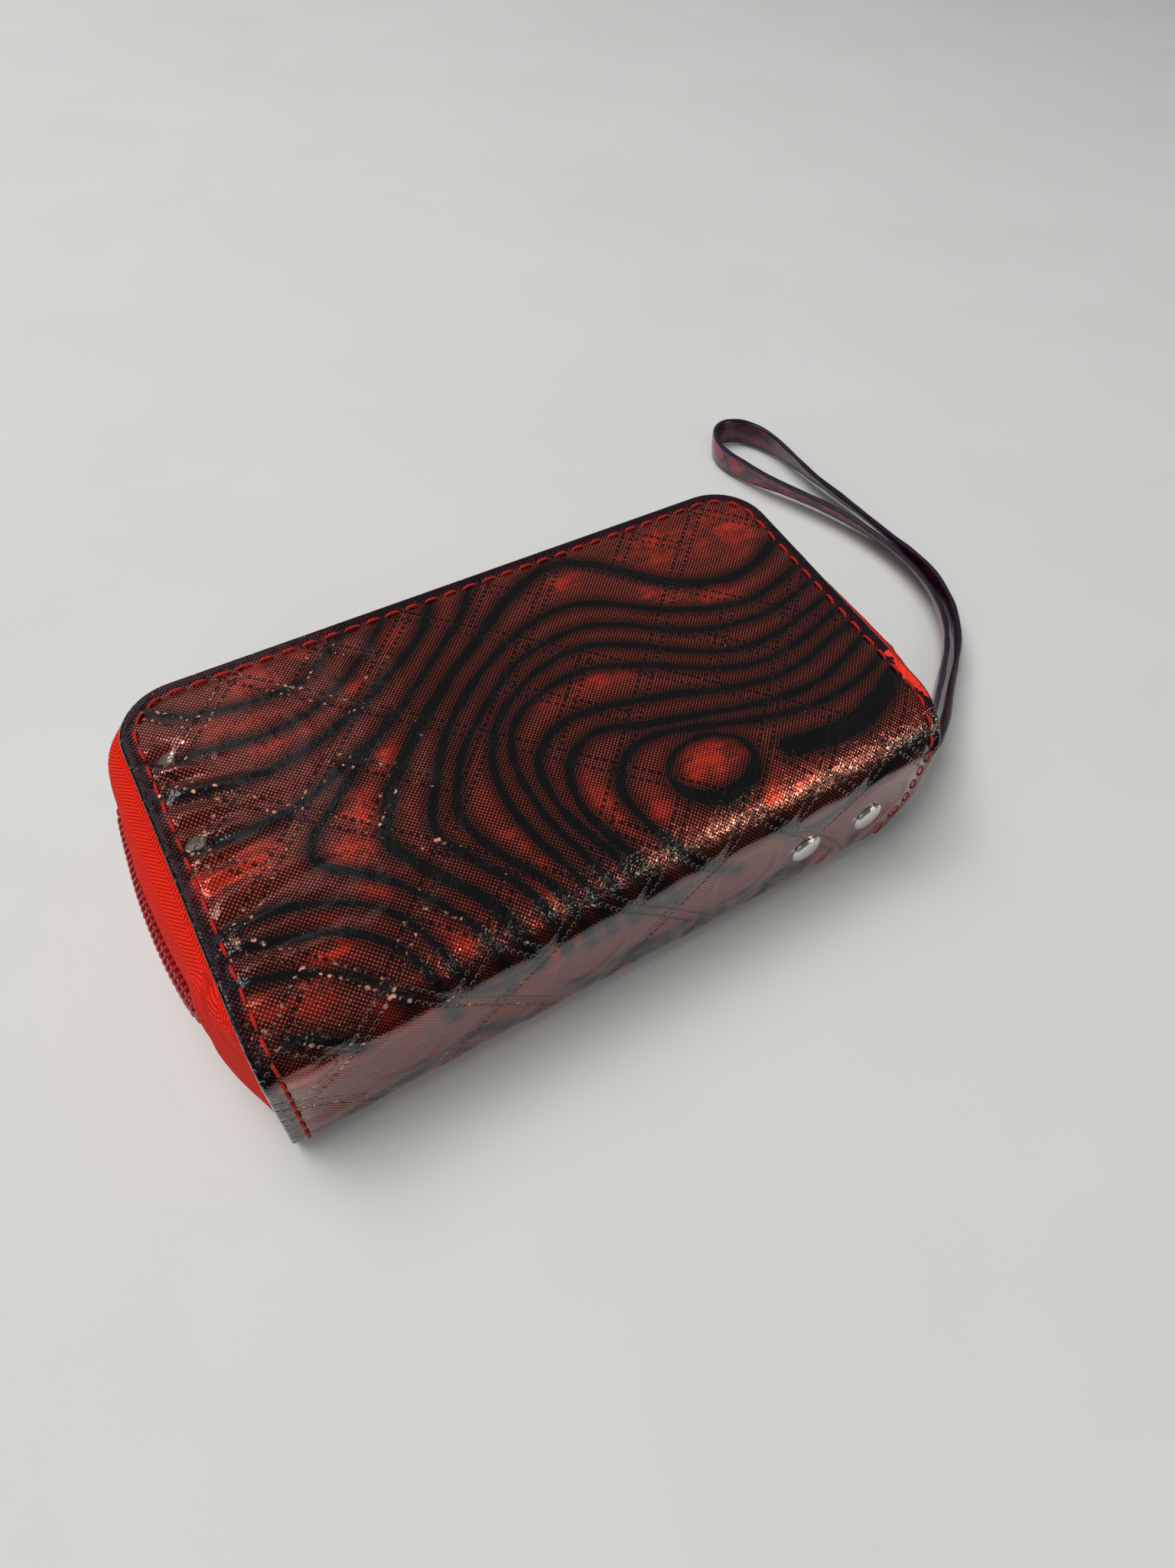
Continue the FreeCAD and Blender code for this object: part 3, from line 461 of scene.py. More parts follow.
def relief(x, t):
    """How far the soft cover stands off its plain shape, in millimetres."""
    u = (x - LEFT) / GRID
    v = t / GRID
    row, ringed, centre = quilt_rows(x - LEFT, t)
    rise = 0.30 * (1 - np.exp(-((row / 2.2) ** 1.5)))
    rise -= 0.14 * gauss(row, 1.0)
    ring = 0.17 * gauss(centre - RING_RADIUS, RING_HALF) - 0.1 * gauss(centre - RING_RADIUS + 1.3, 0.7)
    rise += np.where(ringed, ring, 0)
    spine = smooth_step(np.abs(v - WRAP_ROWS / 2) * -1.0, -22, -12)
    rise *= 0.30 + 0.34 * spine
    for start, end, length, depth in CREASES:
        along = np.clip(u / length, 0, 1)
        off = (v - start - (end - start) * along) / (0.8 + 1.3 * along)
        fade = (1 - along) ** 1.3 * smooth_step(u, 0, 4)
        rise -= depth * fade * np.exp(-(off**2))
        rise += 0.7 * depth * fade * np.exp(-((off - 2.2) ** 2) / 1.6)
    for at_u, at_v, depth in DENTS:
        rise -= depth * gauss(u - at_u, 3.0) * gauss(v - at_v, 2.4)
    near_ridge = gauss(v - 80, 7)
    folds = noise_at(x / 11, t / 2.1, 4.4)
    rise += 0.42 * folds * np.exp(-u / 13) + 0.16 * folds * np.exp(-(150 - u) / 9)
    rise += (0.20 - 0.10 * near_ridge) * noise_at(x / 13, t / 13, 3.1)
    rise += (0.03 + 0.10 * near_ridge) * noise_at(x / 3.4, t / 3.4, 9.7)
    return press(rise, x, t)

def press(rise, x, t):
    """The rivets hold the skin flat round them."""
    for at_x in RIVETS_X:
        away = np.hypot(x - at_x, t - RIVET_T)
        rise = rise * smooth_step(away, RIVET_RADIUS, 2.2 * RIVET_RADIUS)
        rise = rise - 0.25 * gauss(away - RIVET_RADIUS, 1.2)
    return rise

def settle(rise, inside):
    """Relief dies out towards the seam, which presses the sheet flat, and the edge is rounded."""
    rise = rise * smooth_step(inside, 1.0, 5.5)
    rise = rise - 0.22 * gauss(inside - STITCH_INSET, 0.9)
    over = np.clip(EDGE_RADIUS - inside, 0, EDGE_RADIUS)
    return rise - (EDGE_RADIUS - np.sqrt(EDGE_RADIUS**2 - over**2))

def band_distance(u, v, line):
    """Distance on the grid from a drawn line."""
    best = np.full(u.shape, 1e9)
    for (au, av), (bu, bv) in zip(line, line[1:]):
        du, dv = bu - au, bv - av
        f = np.clip(((u - au) * du + (v - av) * dv) / (du * du + dv * dv + 1e-9), 0, 1)
        best = np.minimum(best, (u - au - f * du) ** 2 + (v - av - f * dv) ** 2)
    return np.sqrt(best)

def print_ink(u, v):
    """How far inside a dark band a place is, on the grid: above 0 is dark."""
    ink = np.full(u.shape, -9.0)
    for half, points in BANDS:
        ink = np.maximum(ink, half - band_distance(u, v, smooth_line(points, 5)))
    out_ = (1 - np.hypot((u - EYE[0]) / EYE_OUTER[0], (v - EYE[1]) / EYE_OUTER[1])) * EYE_OUTER[1]
    in_ = (np.hypot((u - EYE[0]) / EYE_INNER[0], (v - EYE[1] + 1) / EYE_INNER[1]) - 1) * EYE_INNER[1]
    return np.maximum(ink, np.minimum(out_, in_))

def print_red_and_reflection(u, v):
    """Brightness of the red, from 0 to 1: partly the print, partly painted reflection."""
    red_and_reflection = np.zeros(u.shape)
    for at_u, at_v, half_u, half_v, strength in PRINT_AND_REFLECTION_PATCHES:
        red_and_reflection = np.maximum(red_and_reflection, strength * gauss(u - at_u, half_u) * gauss(v - at_v, half_v))
    return red_and_reflection

def graded(start, end, step, fine):
    """Places from start to end, closer together at both ends."""
    inner = np.arange(start + 1.2, end - 1.2, step)
    return np.concatenate([[start], start + fine, inner, end - fine[::-1], [end]])

def build_cover(name, upper, spine_body, panel_body, start, end, nodes):
    """One half of the wrap as a closed sheet."""
    length = UPPER_WRAP if upper else LOWER_WRAP
    corner_rows = CORNER_RADIUS * (1 - np.cos(np.linspace(0, QUARTER, 22)))
    plain_rows = np.arange(CORNER_RADIUS + COVER_STEP, length, COVER_STEP)
    rows = np.concatenate([corner_rows, plain_rows, [length]])
    fine = np.array([0.06, 0.16, 0.3, 0.5, 0.8])
    across = (graded(0, 2 * HALF, 0.6, fine) - HALF) / HALF
    t, s = np.meshgrid(rows, across, indexing="ij")
    x = MIDDLE_X + s * reach(t)
    wrap_t = t if upper else WHOLE_WRAP - t
    inside = np.maximum(edge_distance(x, t), 0)
    rise = relief(x, wrap_t)
    if not upper:
        resting = smooth_step(length - SPLIT_Z + 2 - t, 0, 4)
        rise = rise * (1 - resting) + np.minimum(rise - 0.35, 0) * resting
    rise = settle(rise, inside)
    outer = wrap_place(upper, x, t, rise)
    under = SKIN - np.clip(0.4 - inside, 0, 0.4)
    inner = wrap_place(upper, x, t, -under)
    n, m = t.shape
    points = np.vstack([outer.reshape(-1, 3), inner.reshape(-1, 3)])
    faces = sheet_faces(n, m, flipped=not upper)
    piece = new_piece(name, points, faces.tolist(), patent, edge_paint)
    painted = np.arange(len(faces)) >= (n - 1) * (m - 1)
    piece.data.polygons.foreach_set("material_index", painted.astype(int))
    u, v = (x - LEFT) / GRID, wrap_t / GRID
    under_panel = v > WRAP_ROWS / 2 + 6
    far_u, far_v = np.where(under_panel, 150 - u, u), np.where(under_panel, WRAP_ROWS - v, v)
    ink = print_ink(far_u, far_v)
    ink = ink + 0.35 * noise_at(u / 4, v / 4, 5.3)
    wear_and_dent_highlight = smooth_step(u, 146, 149) * gauss(v - 68, 8.0)
    # Wear at the right edge counts up; the dents count down, and the patent material paints them pale: a
    # painted highlight.
    for at_u, at_v, _ in DENTS:
        wear_and_dent_highlight = wear_and_dent_highlight - gauss(u - at_u, 2.6) * gauss(v - at_v + (u - at_u) * 0.2, 1.5)
    looks = {"print": (ink, print_red_and_reflection(far_u, far_v), inside), "wrap": (x - LEFT, wrap_t, wear_and_dent_highlight)}
    for attribute, fields in looks.items():
        rows = np.column_stack([field.ravel() for field in fields])
        set_attribute(piece, attribute, np.vstack([rows, rows]))
    last = np.arange((n - 1) * m, n * m)
    split = set(last.tolist()) | set((last + n * m).tolist())
    for edge in piece.data.edges:
        edge.use_edge_sharp = split.issuperset(edge.vertices)
    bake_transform(piece)
    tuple(start)
    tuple(end)
    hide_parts(*nodes)

# ---- materials ----------------------------------------------------------------------------------

def make_patent():
    """Printed and embossed foil skin under a clear gloss coat."""
    made = Material(
        "patent_skin", Roughness=0.09, Metallic=0.60, Coat_Weight=0.9, Coat_Roughness=0.05, Coat_IOR=1.45,
        Specular_IOR_Level=0.1,
    )
    x, t, wear_and_dent_highlight = made.attribute("wrap")
    ink, red_and_reflection, inside = made.attribute("print")
    dots = (x + t).wave(0.70) * (x - t).wave(0.70)
    dot = dots.ramp(0.22, 0.62)
    mottle = made.noise(300.0, 4.0)
    cloud = made.noise(60.0, 3.0)
    foil = made.noise(190.0, 5.0, roughness=0.6).ramp(0.42, 0.58)
    streaks = made.noise(0.55, 4.0, made.join(x * 0.35, t, x * 0.0), 0.6).ramp(0.44, 0.58)
    # The red's brightness: the print's lighter red and partly painted reflection, broken up by foil grain and
    # streaks.
    lit = red_and_reflection * (foil * 0.75 + streaks * 0.45 + 0.06) + (cloud - 0.55) * 0.5
    bright = (lit + streaks * 0.10).ramp(0.0, 1.0)
    ground = made.mix(bright, (0.040, 0.0022, 0.0022), (0.60, 0.014, 0.005))
    speck = made.mix(bright, (0.70, 0.150, 0.100), (1.0, 0.20, 0.10))
    red = made.mix(dot * 0.9, ground, speck)
    dark = (ink - dots * 0.5 + (mottle - 0.5) * 0.7).ramp(-0.55, 0.25)
    halo = ink.ramp(-2.4, -0.1)
    red = made.mix(halo * 0.62, red, (0.012, 0.004, 0.004))
    ridge_t = DEPTH - RIDGE_RADIUS + 0.42 * QUARTER * RIDGE_RADIUS
    # Painted shade: a near-black band along the fold under the ridge, for the dark surroundings the gloss
    # mirrors there.
    painted_fold_shade = (t - (ridge_t + 5.2)).math("ABSOLUTE").ramp(1.6, 4.2, 0.55, 0.0)
    red = made.mix(painted_fold_shade, red, (0.010, 0.003, 0.003))
    colour = made.mix(dark, red, (0.0045, 0.0036, 0.0040))
    # The embossed holes are painted near black, painted shade in the dimples, and towards the left some carry
    # a bright speck, a painted highlight.
    hole = stitch_rows(made, x, t)
    left = x.ramp(LEFT_ROWS[0], LEFT_ROWS[1], 0.50, 0.30)
    painted_hole_glint = (made.noise(760.0, 3.0, roughness=0.7) + left - 0.5).ramp(0.50, 0.62)
    colour = made.mix(hole * 0.85, colour, made.mix(painted_hole_glint * 0.9, (0.005, 0.002, 0.002), (1.0, 0.46, 0.32)))
    margin = inside.ramp(1.2, 2.6, 0.85, 0.0)
    colour = made.mix(margin, colour, made.mix(dot, (0.006, 0.003, 0.008), (0.035, 0.010, 0.030)))
    bare = (wear_and_dent_highlight + (made.noise(420.0, 4.0) - 0.5) * 1.6).ramp(0.42, 0.50)
    # Pale patches in the dents: painted highlight.
    painted_dent_highlight = (wear_and_dent_highlight * -1.0 + (made.noise(500.0, 3.0) - 0.5) * 0.5).ramp(0.45, 0.75)
    colour = made.mix(painted_dent_highlight * 0.8, colour, (0.27, 0.24, 0.20))
    colour = made.mix(bare, colour, (0.80, 0.035, 0.018))
    edge = inside.ramp(0.35, 0.75, 1.0, 0.0)
    made.set("Base_Color", made.mix(edge, colour, (0.004, 0.004, 0.006)))
    made.set("Metallic", dark.ramp(0.0, 1.0, 0.60, 0.1) * (bare * -1.0 + 1.0))
    ridge = (t - ridge_t).math("ABSOLUTE").ramp(2.0, 6.0, 1.0, 0.0)
    crinkle = made.noise(620.0, 4.0, roughness=0.6)
    puckers = x.ramp(LEFT_ROWS[0], LEFT_ROWS[1], 1.0, 0.0)
    grain = made.noise(2600.0, 2.0)
    flakes = made.noise(1000.0, 3.0, roughness=0.6).ramp(0.38, 0.62)
    rough = crinkle * (ridge * 0.10 + puckers * 0.05 + 0.006) + flakes * ridge * 0.07
    height = dots * 0.010 + grain * 0.003 - hole * 0.22 + rough + foil * puckers * 0.05 - bare * 0.05
    made.bump(height, coat=True)
    return made

def stitch_rows(made, x, t):
    """Embossed holes in double rows along the quilting: 1 in a hole."""
    root = 1 / math.sqrt(2)
    rise = (x + t) * root - QUILT_RISE
    fall = (x - t) * root - QUILT_FALL
    cells = (rise / QUILT).math("FLOOR") + (fall / QUILT).math("FLOOR")
    plain = cells.math("MODULO", 2.0).math("ABSOLUTE") * -1.0 + 1.0
    spots = None
    for across, along in ((rise, fall), (fall, rise)):
        step = along.off_line(HOLE_PITCH)
        big = (across.off_line(QUILT) - ROW_GAP).math("ABSOLUTE")
        small = ((across + QUILT / 2).off_line(QUILT) - ROW_GAP).math("ABSOLUTE")
        for line, mask in ((big, None), (small, plain)):
            far = (line * line + step * step * 0.6).math("SQRT")
            spot = far.ramp(0.22, 0.38, 1.0, 0.0)
            spot = spot * mask if mask else spot
            spots = spot if spots is None else spots.math("MAXIMUM", spot)
    return spots

def make_strap_skin():
    """The same skin cut small: dark blotches and streaks on crimson, glossy, with navy edges."""
    made = Material(
        "strap_skin", Roughness=0.35, Metallic=0.3, Coat_Weight=0.7, Coat_Roughness=0.10,
        Specular_IOR_Level=0.2,
    )
    s, w, inner = made.attribute("wrap")
    blotch = made.noise(0.42, 4.0, made.join(s * 0.6, w, w * 0.2), 0.68).ramp(0.43, 0.54)
    streak = made.noise(1.5, 4.0, made.join(s * 0.4, w, s * 0.0), 0.65)
    dots = (s + w).wave(0.70) * (s - w).wave(0.70)
    red = made.mix(streak.ramp(0.35, 0.65), (0.075, 0.004, 0.016), (0.42, 0.014, 0.034))
    red = made.mix(dots.ramp(0.2, 0.7) * 0.35, red, (0.55, 0.13, 0.17))
    colour = made.mix(blotch * 0.85, red, (0.016, 0.010, 0.030))
    colour = made.mix(inner * 0.55, colour, (0.010, 0.008, 0.020))
    edge = w.math("ABSOLUTE").ramp(2.7, 3.3)
    made.set("Base_Color", made.mix(edge * 0.9, colour, (0.012, 0.010, 0.026)))
    made.bump(streak * 0.12 + dots * 0.01, coat=True)
    return made

def make_thread():
    """Twisted red thread."""
    made = Material("seam_thread", Roughness=0.55, Specular_IOR_Level=0.3)
    s, angle, _ = made.attribute("wrap")
    twist = (s + angle * 0.16).wave(0.42)
    tone = made.noise(700.0, 2.0)
    # Darker along the twist's grooves: painted shade, with random tone.
    made.set("Base_Color", made.mix(tone * twist, (0.30, 0.006, 0.005), (0.80, 0.035, 0.022)))
    made.bump(twist * 0.05 + tone * 0.02)
    return made

def speckled(name, grain, first, second, height, **plain):
    """A material whose colour and bump follow one noise; grain is its scale and detail."""
    made = Material(name, **plain)
    tone = made.noise(*grain)
    made.set("Base_Color", made.mix(tone, first, second))
    made.bump(tone * height)
    return made

def make_tape():
    """Herringbone zip tape: slanted ribs that turn back every column."""
    made = Material("zip_tape", Roughness=0.85, Specular_IOR_Level=0.15)
    s, w, _ = made.attribute("wrap")
    column = w.off_line(4.2)
    rib = (s + column * 1.2).wave(0.72)
    yarn = (w + s * 0.3).wave(0.40)
    fuzz = made.noise(1100.0, 3.0)
    # Darker in the grooves between ribs, lighter on them: painted shade, with random fuzz.
    groove_shade = (rib * 0.75 + fuzz * 0.35).ramp(0.1, 0.8)
    made.set("Base_Color", made.mix(groove_shade, (0.40, 0.0065, 0.004), (0.78, 0.024, 0.009)))
    made.bump(rib * 0.14 + yarn * 0.04 + fuzz * 0.04)
    return made

def make_nickel():
    """Polished nickel with faint wear."""
    made = Material("nickel", Metallic=1.0)
    wear = made.noise(700.0, 4.0)
    made.set("Base_Color", made.mix(wear, (0.66, 0.64, 0.60), (0.86, 0.85, 0.82)))
    made.set("Roughness", wear.ramp(0.3, 0.8, 0.12, 0.28))
    made.bump(wear * 0.008)
    return made

def make_lining():
    """Black lining cloth with a fine plain weave."""
    made = Material("lining", Roughness=0.7, Sheen_Weight=0.3, Sheen_Roughness=0.4)
    x, y, z = (axis * 1000.0 for axis in made.split(made.place()))
    weave = (x + z * 0.2).wave(0.5) * 0.5 + (y + z).wave(0.5) * 0.5
    tone = made.noise(300.0, 3.0)
    # Lighter on the yarns and darker between them: painted shade, with random tone.
    made.set("Base_Color", made.mix(weave * tone, (0.010, 0.008, 0.010), (0.060, 0.048, 0.054)))
    made.bump(weave * 0.05 + tone * 0.03)
    return made

def make_card_sheet():
    """Black grained leatherette."""
    made = Material("card_sheet", Roughness=0.42, Coat_Weight=0.15, Coat_Roughness=0.3)
    cell = made.add("TexVoronoi", "Distance", Vector=made.place(), Scale=950.0)
    tone = made.noise(150.0, 3.0)
    made.set("Base_Color", made.mix(cell * 0.6 + tone * 0.4, (0.012, 0.009, 0.010), (0.070, 0.052, 0.058)))
    made.bump(cell * -0.10 + tone * 0.05)
    return made

def make_floor():
    """White table cloth."""
    made = Material("floor", Roughness=0.8)
    tone = made.noise(14.0, 3.0)
    cloth = (made.noise(1500.0, 1.0) - 0.5) * 0.06
    made.set("Base_Color", made.mix(tone + cloth, (0.57, 0.578, 0.555), (0.635, 0.642, 0.62)))
    return made

patent = make_patent()
strap_skin = make_strap_skin()
thread = make_thread()
# Near-black lenses in the needle holes: painted shade.
needle_hole_shade = Material("needle_hole_shade", Base_Color=(0.003, 0.002, 0.002), Roughness=0.6)
edge_paint = speckled(  # black, slightly uneven
    "edge_paint", (500.0, 3.0), (0.004, 0.003, 0.004), (0.016, 0.010, 0.014), 0.06,
    Roughness=0.32, Coat_Weight=0.4, Coat_Roughness=0.15,
)
tape = make_tape()
coil = speckled(  # crimson nylon
    "zip_coil", (500.0, 2.0), (0.26, 0.008, 0.012), (0.50, 0.016, 0.022), 0.02,
    Roughness=0.3, Coat_Weight=0.5, Coat_Roughness=0.2,
)
nickel = make_nickel()
board = speckled("board", (900.0, 5.0), (0.20, 0.17, 0.14), (0.46, 0.42, 0.36), 0.05, Roughness=0.85)
lining = make_lining()
card_sheet = make_card_sheet()
floor_cloth = make_floor()

# ---- camera, light and stage --------------------------------------------------------------------

CAMERA_AT = (-55.5, -85.4, 138.2)
CAMERA_YAW = 36.4
CAMERA_PITCH = 51.0
CAMERA_ROLL = -6.05
CAMERA_LENS = 21.08

def build_camera():
    yaw, pitch, roll = (math.radians(a) for a in (CAMERA_YAW, CAMERA_PITCH, CAMERA_ROLL))
    ahead = Vector(
        (math.sin(yaw) * math.cos(pitch), math.cos(yaw) * math.cos(pitch), -math.sin(pitch))
    )
    level = Vector((math.cos(yaw), -math.sin(yaw), 0))
    down = ahead.cross(level)
    right = math.cos(roll) * level + math.sin(roll) * down
    up = math.sin(roll) * level - math.cos(roll) * down
    data = bpy.data.cameras.new("Camera")
    data.sensor_width = 36
    data.lens = CAMERA_LENS
    data.clip_start = 0.005
    camera = bpy.data.objects.new("Camera", data)
    turn = Matrix((right, up, -ahead)).transposed().to_4x4()
    camera.matrix_world = Matrix.Translation(Vector(CAMERA_AT) * MM) @ turn
    bpy.context.scene.collection.objects.link(camera)
    bpy.context.scene.camera = camera

def area_light(name, at, size, radiance, colour=(1, 1, 1), glossy=True, diffuse=True):
    """A soft box of the given radiance. Without glossy it isn't mirrored, without diffuse it only is."""
    data = bpy.data.lights.new(name, "AREA")
    data.shape = "RECTANGLE"
    data.size, data.size_y = size
    data.energy = radiance * math.pi * size[0] * size[1]
    data.color = colour
    light = bpy.data.objects.new(name, data)
    light.location = at
    light.rotation_euler = (Vector((0, 0, 0.02)) - Vector(at)).to_track_quat("-Z", "Y").to_euler()
    light.visible_glossy = glossy
    light.visible_diffuse = diffuse
    bpy.context.scene.collection.objects.link(light)

def stage_plane(name, corners, material):
    """A flat piece of the stage, from corners in metres."""
    piece = new_piece(name, np.array(corners) / MM, [tuple(range(len(corners)))], material)
    return piece

def build_stage():
    """Pale table and soft boxes placed where the skin's gloss shows them, in a dim room."""
    stage_plane("floor", [(-2, -1.5, 0), (2.5, -1.5, 0), (2.5, 2, 0), (-2, 2, 0)], floor_cloth)
    flag = Material("flag", Base_Color=(0.01, 0.01, 0.01), Roughness=1.0)
    card = [(-0.35, -0.062, 0.0006), (-0.9, -1.4, 0.0006), (2.0, -1.4, 0.0006), (1.0, -0.062, 0.0006)]
    screen = stage_plane("front_card", card, flag)
    screen.visible_camera = False
    screen.visible_diffuse = False
    screen.visible_shadow = False
    world = bpy.data.worlds.new("World")
    world.use_nodes = True
    world.node_tree.nodes["Background"].inputs["Color"].default_value = (0.95, 0.98, 1.0, 1)
    world.node_tree.nodes["Background"].inputs["Strength"].default_value = 0.11
    bpy.context.scene.world = world
    area_light("window", (0.70, -0.95, 0.33), (0.44, 0.030), 110.0, (1.0, 0.84, 0.60), diffuse=False)
    area_light("key_box", (-0.5, 0.5, 1.8), (1.4, 1.4), 5.3, glossy=False)
    area_light("front_box", (-0.6, -1.3, 1.3), (1.4, 1.0), 1.7, glossy=False)
    area_light("left_box", (-1.5, 0.0, 0.9), (1.2, 0.8), 1.5)
    area_light("left_sparkle", (-0.75, 0.75, 1.8), (0.4, 0.4), 6.0)
    area_light("left_sky", (-0.35, 1.3, 1.55), (1.1, 1.1), 0.42)
    bpy.context.scene.view_settings.view_transform = "Standard"

build_camera()
build_stage()

# ---- wrist strap --------------------------------------------------------------------------------

# The route's points as in the CAD model, from the panels' middle, the spine's face and the base,
# with the far end of the loop drawn in.
STRAP_ROUTE = [
    (59.0, 4.0, 12.0), (65.0, 4.0, 12.0), (74.5, 8.4, 10.4), (84.4, 14.8, 7.4), (98.0, 23.6, 4.6),
    (106.4, 30.4, 4.0), (112.6, 38.4, 4.0), (117.4, 48.8, 4.0), (119.2, 59.6, 4.0), (119.6, 71.0, 4.0),
    (119.6, 82.5, 4.0), (119.0, 94.0, 4.0), (119.4, 104.9, 4.0), (119.2, 113.8, 4.0),
    (116.2, 121.8, 4.0), (110.2, 124.8, 4.0), (104.6, 121.4, 4.0), (102.0, 113.6, 4.0),
    (104.6, 103.0, 4.0), (109.2, 93.0, 4.0), (113.4, 82.5, 4.0), (116.0, 71.0, 4.0), (116.7, 60.0, 4.0),
    (114.9, 49.8, 4.0), (110.4, 40.2, 4.0), (104.6, 32.6, 4.0), (96.4, 25.8, 4.6), (82.8, 16.8, 7.4),
    (73.2, 10.6, 10.4), (65.0, 5.8, 12.0), (59.0, 5.8, 12.0),
]
# How far the band leans from upright, in degrees, by its distance from the exit.
STRAP_LEAN = [
    (0, 0), (25, 0), (45, 14), (78, 27), (90, 40), (104, 45), (124, 45), (143, 14), (158, 0), (172, -12),
    (186, -36), (200, -46), (226, -46), (240, -36), (258, -22), (285, -6), (300, 0), (330, 0),
]
STRAP_WIDTH = 7.0
STRAP_THICK = 1.6

def spline_points(route, resolution):
    """Points read from a NURBS curve that has the route as its control points, in metres."""
    curve = bpy.data.curves.new("route", "CURVE")
    curve.dimensions = "3D"
    curve.resolution_u = resolution
    spline = curve.splines.new("NURBS")
    spline.points.add(len(route) - 1)
    for point, place in zip(spline.points, route):
        point.co = (*place, 1.0)
    spline.order_u = 3
    spline.use_endpoint_u = True
    holder = bpy.data.objects.new("route", curve)
    bpy.context.scene.collection.objects.link(holder)
    mesh = bpy.data.meshes.new_from_object(holder)
    found = np.array([v.co for v in mesh.vertices])
    bpy.data.objects.remove(holder)
    return found

def strap_section():
    """The folded strap's outline across: two padded faces with turned edges."""
    half_w, half_t = STRAP_WIDTH / 2, STRAP_THICK / 2
    ring = []
    for k in range(28):
        angle = TURN * k / 28
        c, s = math.cos(angle), math.sin(angle)
        wide = math.copysign(abs(s) ** 0.45, s) * half_w
        thick = math.copysign(abs(c) ** 0.7, c) * half_t
        ring.append((thick, wide))
    return np.array(ring)

def build_strap():
    """The loop: a folded band that stands on its edge, along the route's own line."""
    route = [(MIDDLE_X + x, FRONT + y, z) for x, y, z in STRAP_ROUTE]
    path = spline_points([tuple(np.array(p) * MM) for p in route], 9)
    line = path / MM
    along = np.gradient(line, axis=0)
    along /= np.linalg.norm(along, axis=1)[:, None]
    side = np.cross((0.0, 0.0, 1.0), along)
    side /= np.linalg.norm(side, axis=1)[:, None]
    up = np.cross(along, side)
    section = strap_section()
    points = []
    wraps = []
    for p, n, b, s in zip(line, side, up, travel_along(line)):
        swell = 1 + 0.22 * noise.noise((s / 5, 2.2, 0.4))
        wander = 0.16 * noise.noise((s / 4, 5.1, 7.7))
        lean = math.radians(float(soft_table(STRAP_LEAN, s))) + 0.16 * noise.noise((s / 17, 8.8, 1.4))
        face, rise = n * math.cos(lean) - b * math.sin(lean), b * math.cos(lean) + n * math.sin(lean)
        for thick, wide in section:
            groove = 1 - 0.22 * math.exp(-(((abs(wide) - 2.4) / 0.4) ** 2))
            points.append(p + face * thick * swell * groove + rise * (wide + wander))
            wraps.append((s + (40 if thick < 0 else 0), wide, 1.0 if thick > 0.25 else 0.0))
    piece = new_piece("wrist_loop", points, tube_faces(len(line), len(section)), strap_skin)
    set_attribute(piece, "wrap", wraps)
    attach(piece, "wrist_strap")
    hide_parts("wrist_strap")
    tuple(np.array(route[0]) * MM)

build_strap()

# ---- making pieces from several shapes ----------------------------------------------------------

class Shapes:
    """Gathers several closed shapes into one mesh, with a wrap attribute for its material."""

    def __init__(self):
        self.points = []
        self.faces = []
        self.wraps = []

    def add(self, points, faces, wraps=None):
        start = len(self.points)
        self.points.extend(np.asarray(points).tolist())
        self.faces.extend(tuple(start + i for i in face) for face in faces)
        self.wraps.extend(np.zeros((len(points), 3)) if wraps is None else wraps)

    def add_tube(self, line, radii, sides, up=(0.0, 0.0, 1.0), flat=1.0, travel=0.0):
        """A capped tube whose wrap is (distance along it, angle round it)."""
        points = tube(line, radii, sides, up, flat)
        along = travel + travel_along(line)
        angle = np.arange(sides) * TURN / sides
        wraps = [(s, a, 0.0) for s in along for a in angle]
        self.add(points, tube_faces(len(line), sides), wraps)

    def add_slab(self, outline, low, high, bevel, place):
        """A plate: an outline in two directions, from low to high, with rounded rims.

        place turns (first, second, height) into a point.
        """
        outline = np.asarray(outline, float)
        after = np.roll(outline, -1, axis=0) - outline
        before = outline - np.roll(outline, 1, axis=0)
        ahead = after / np.linalg.norm(after, axis=1)[:, None]
        ahead += before / np.linalg.norm(before, axis=1)[:, None]
        ahead /= np.linalg.norm(ahead, axis=1)[:, None]
        inward = np.column_stack([-ahead[:, 1], ahead[:, 0]])
        rings = []
        for k in range(4):
            turn = k / 3 * QUARTER
            rings.append((bevel * (1 - math.sin(turn)), low + bevel * (1 - math.cos(turn))))
        rings += [(inset, low + high - height) for inset, height in reversed(rings)]
        points = [place(*(p + n * inset), height) for inset, height in rings for p, n in zip(outline, inward)]
        self.add(points, tube_faces(len(rings), len(outline)))

    def add_lathe(self, profile, sides, place):
        """A turned shape from (radius, height) points, closed at both ends."""
        points = []
        for radius, height in profile:
            for k in range(sides):
                angle = TURN * k / sides
                points.append(place(radius * math.cos(angle), radius * math.sin(angle), height))
        self.add(points, tube_faces(len(profile), sides))

    def piece(self, name, material, nodes=(), body=None, blend=None, slot=None):
        """Makes the object, parents it to its body's empty or, for a blend, bakes it in place, and hides the
        CAD nodes it stands for.
        """
        made = new_piece(name, self.points, self.faces, material)
        sort_normals(made)
        set_attribute(made, "wrap", self.wraps)
        if blend:
            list(blend[:2])
            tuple(blend[2])
            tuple(blend[3])
            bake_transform(made)
        else:
            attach(made, body)
        slot or material.name
        if nodes:
            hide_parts(*nodes)

SHARP = math.radians(38)  # edges that turn by more than this stay crisp

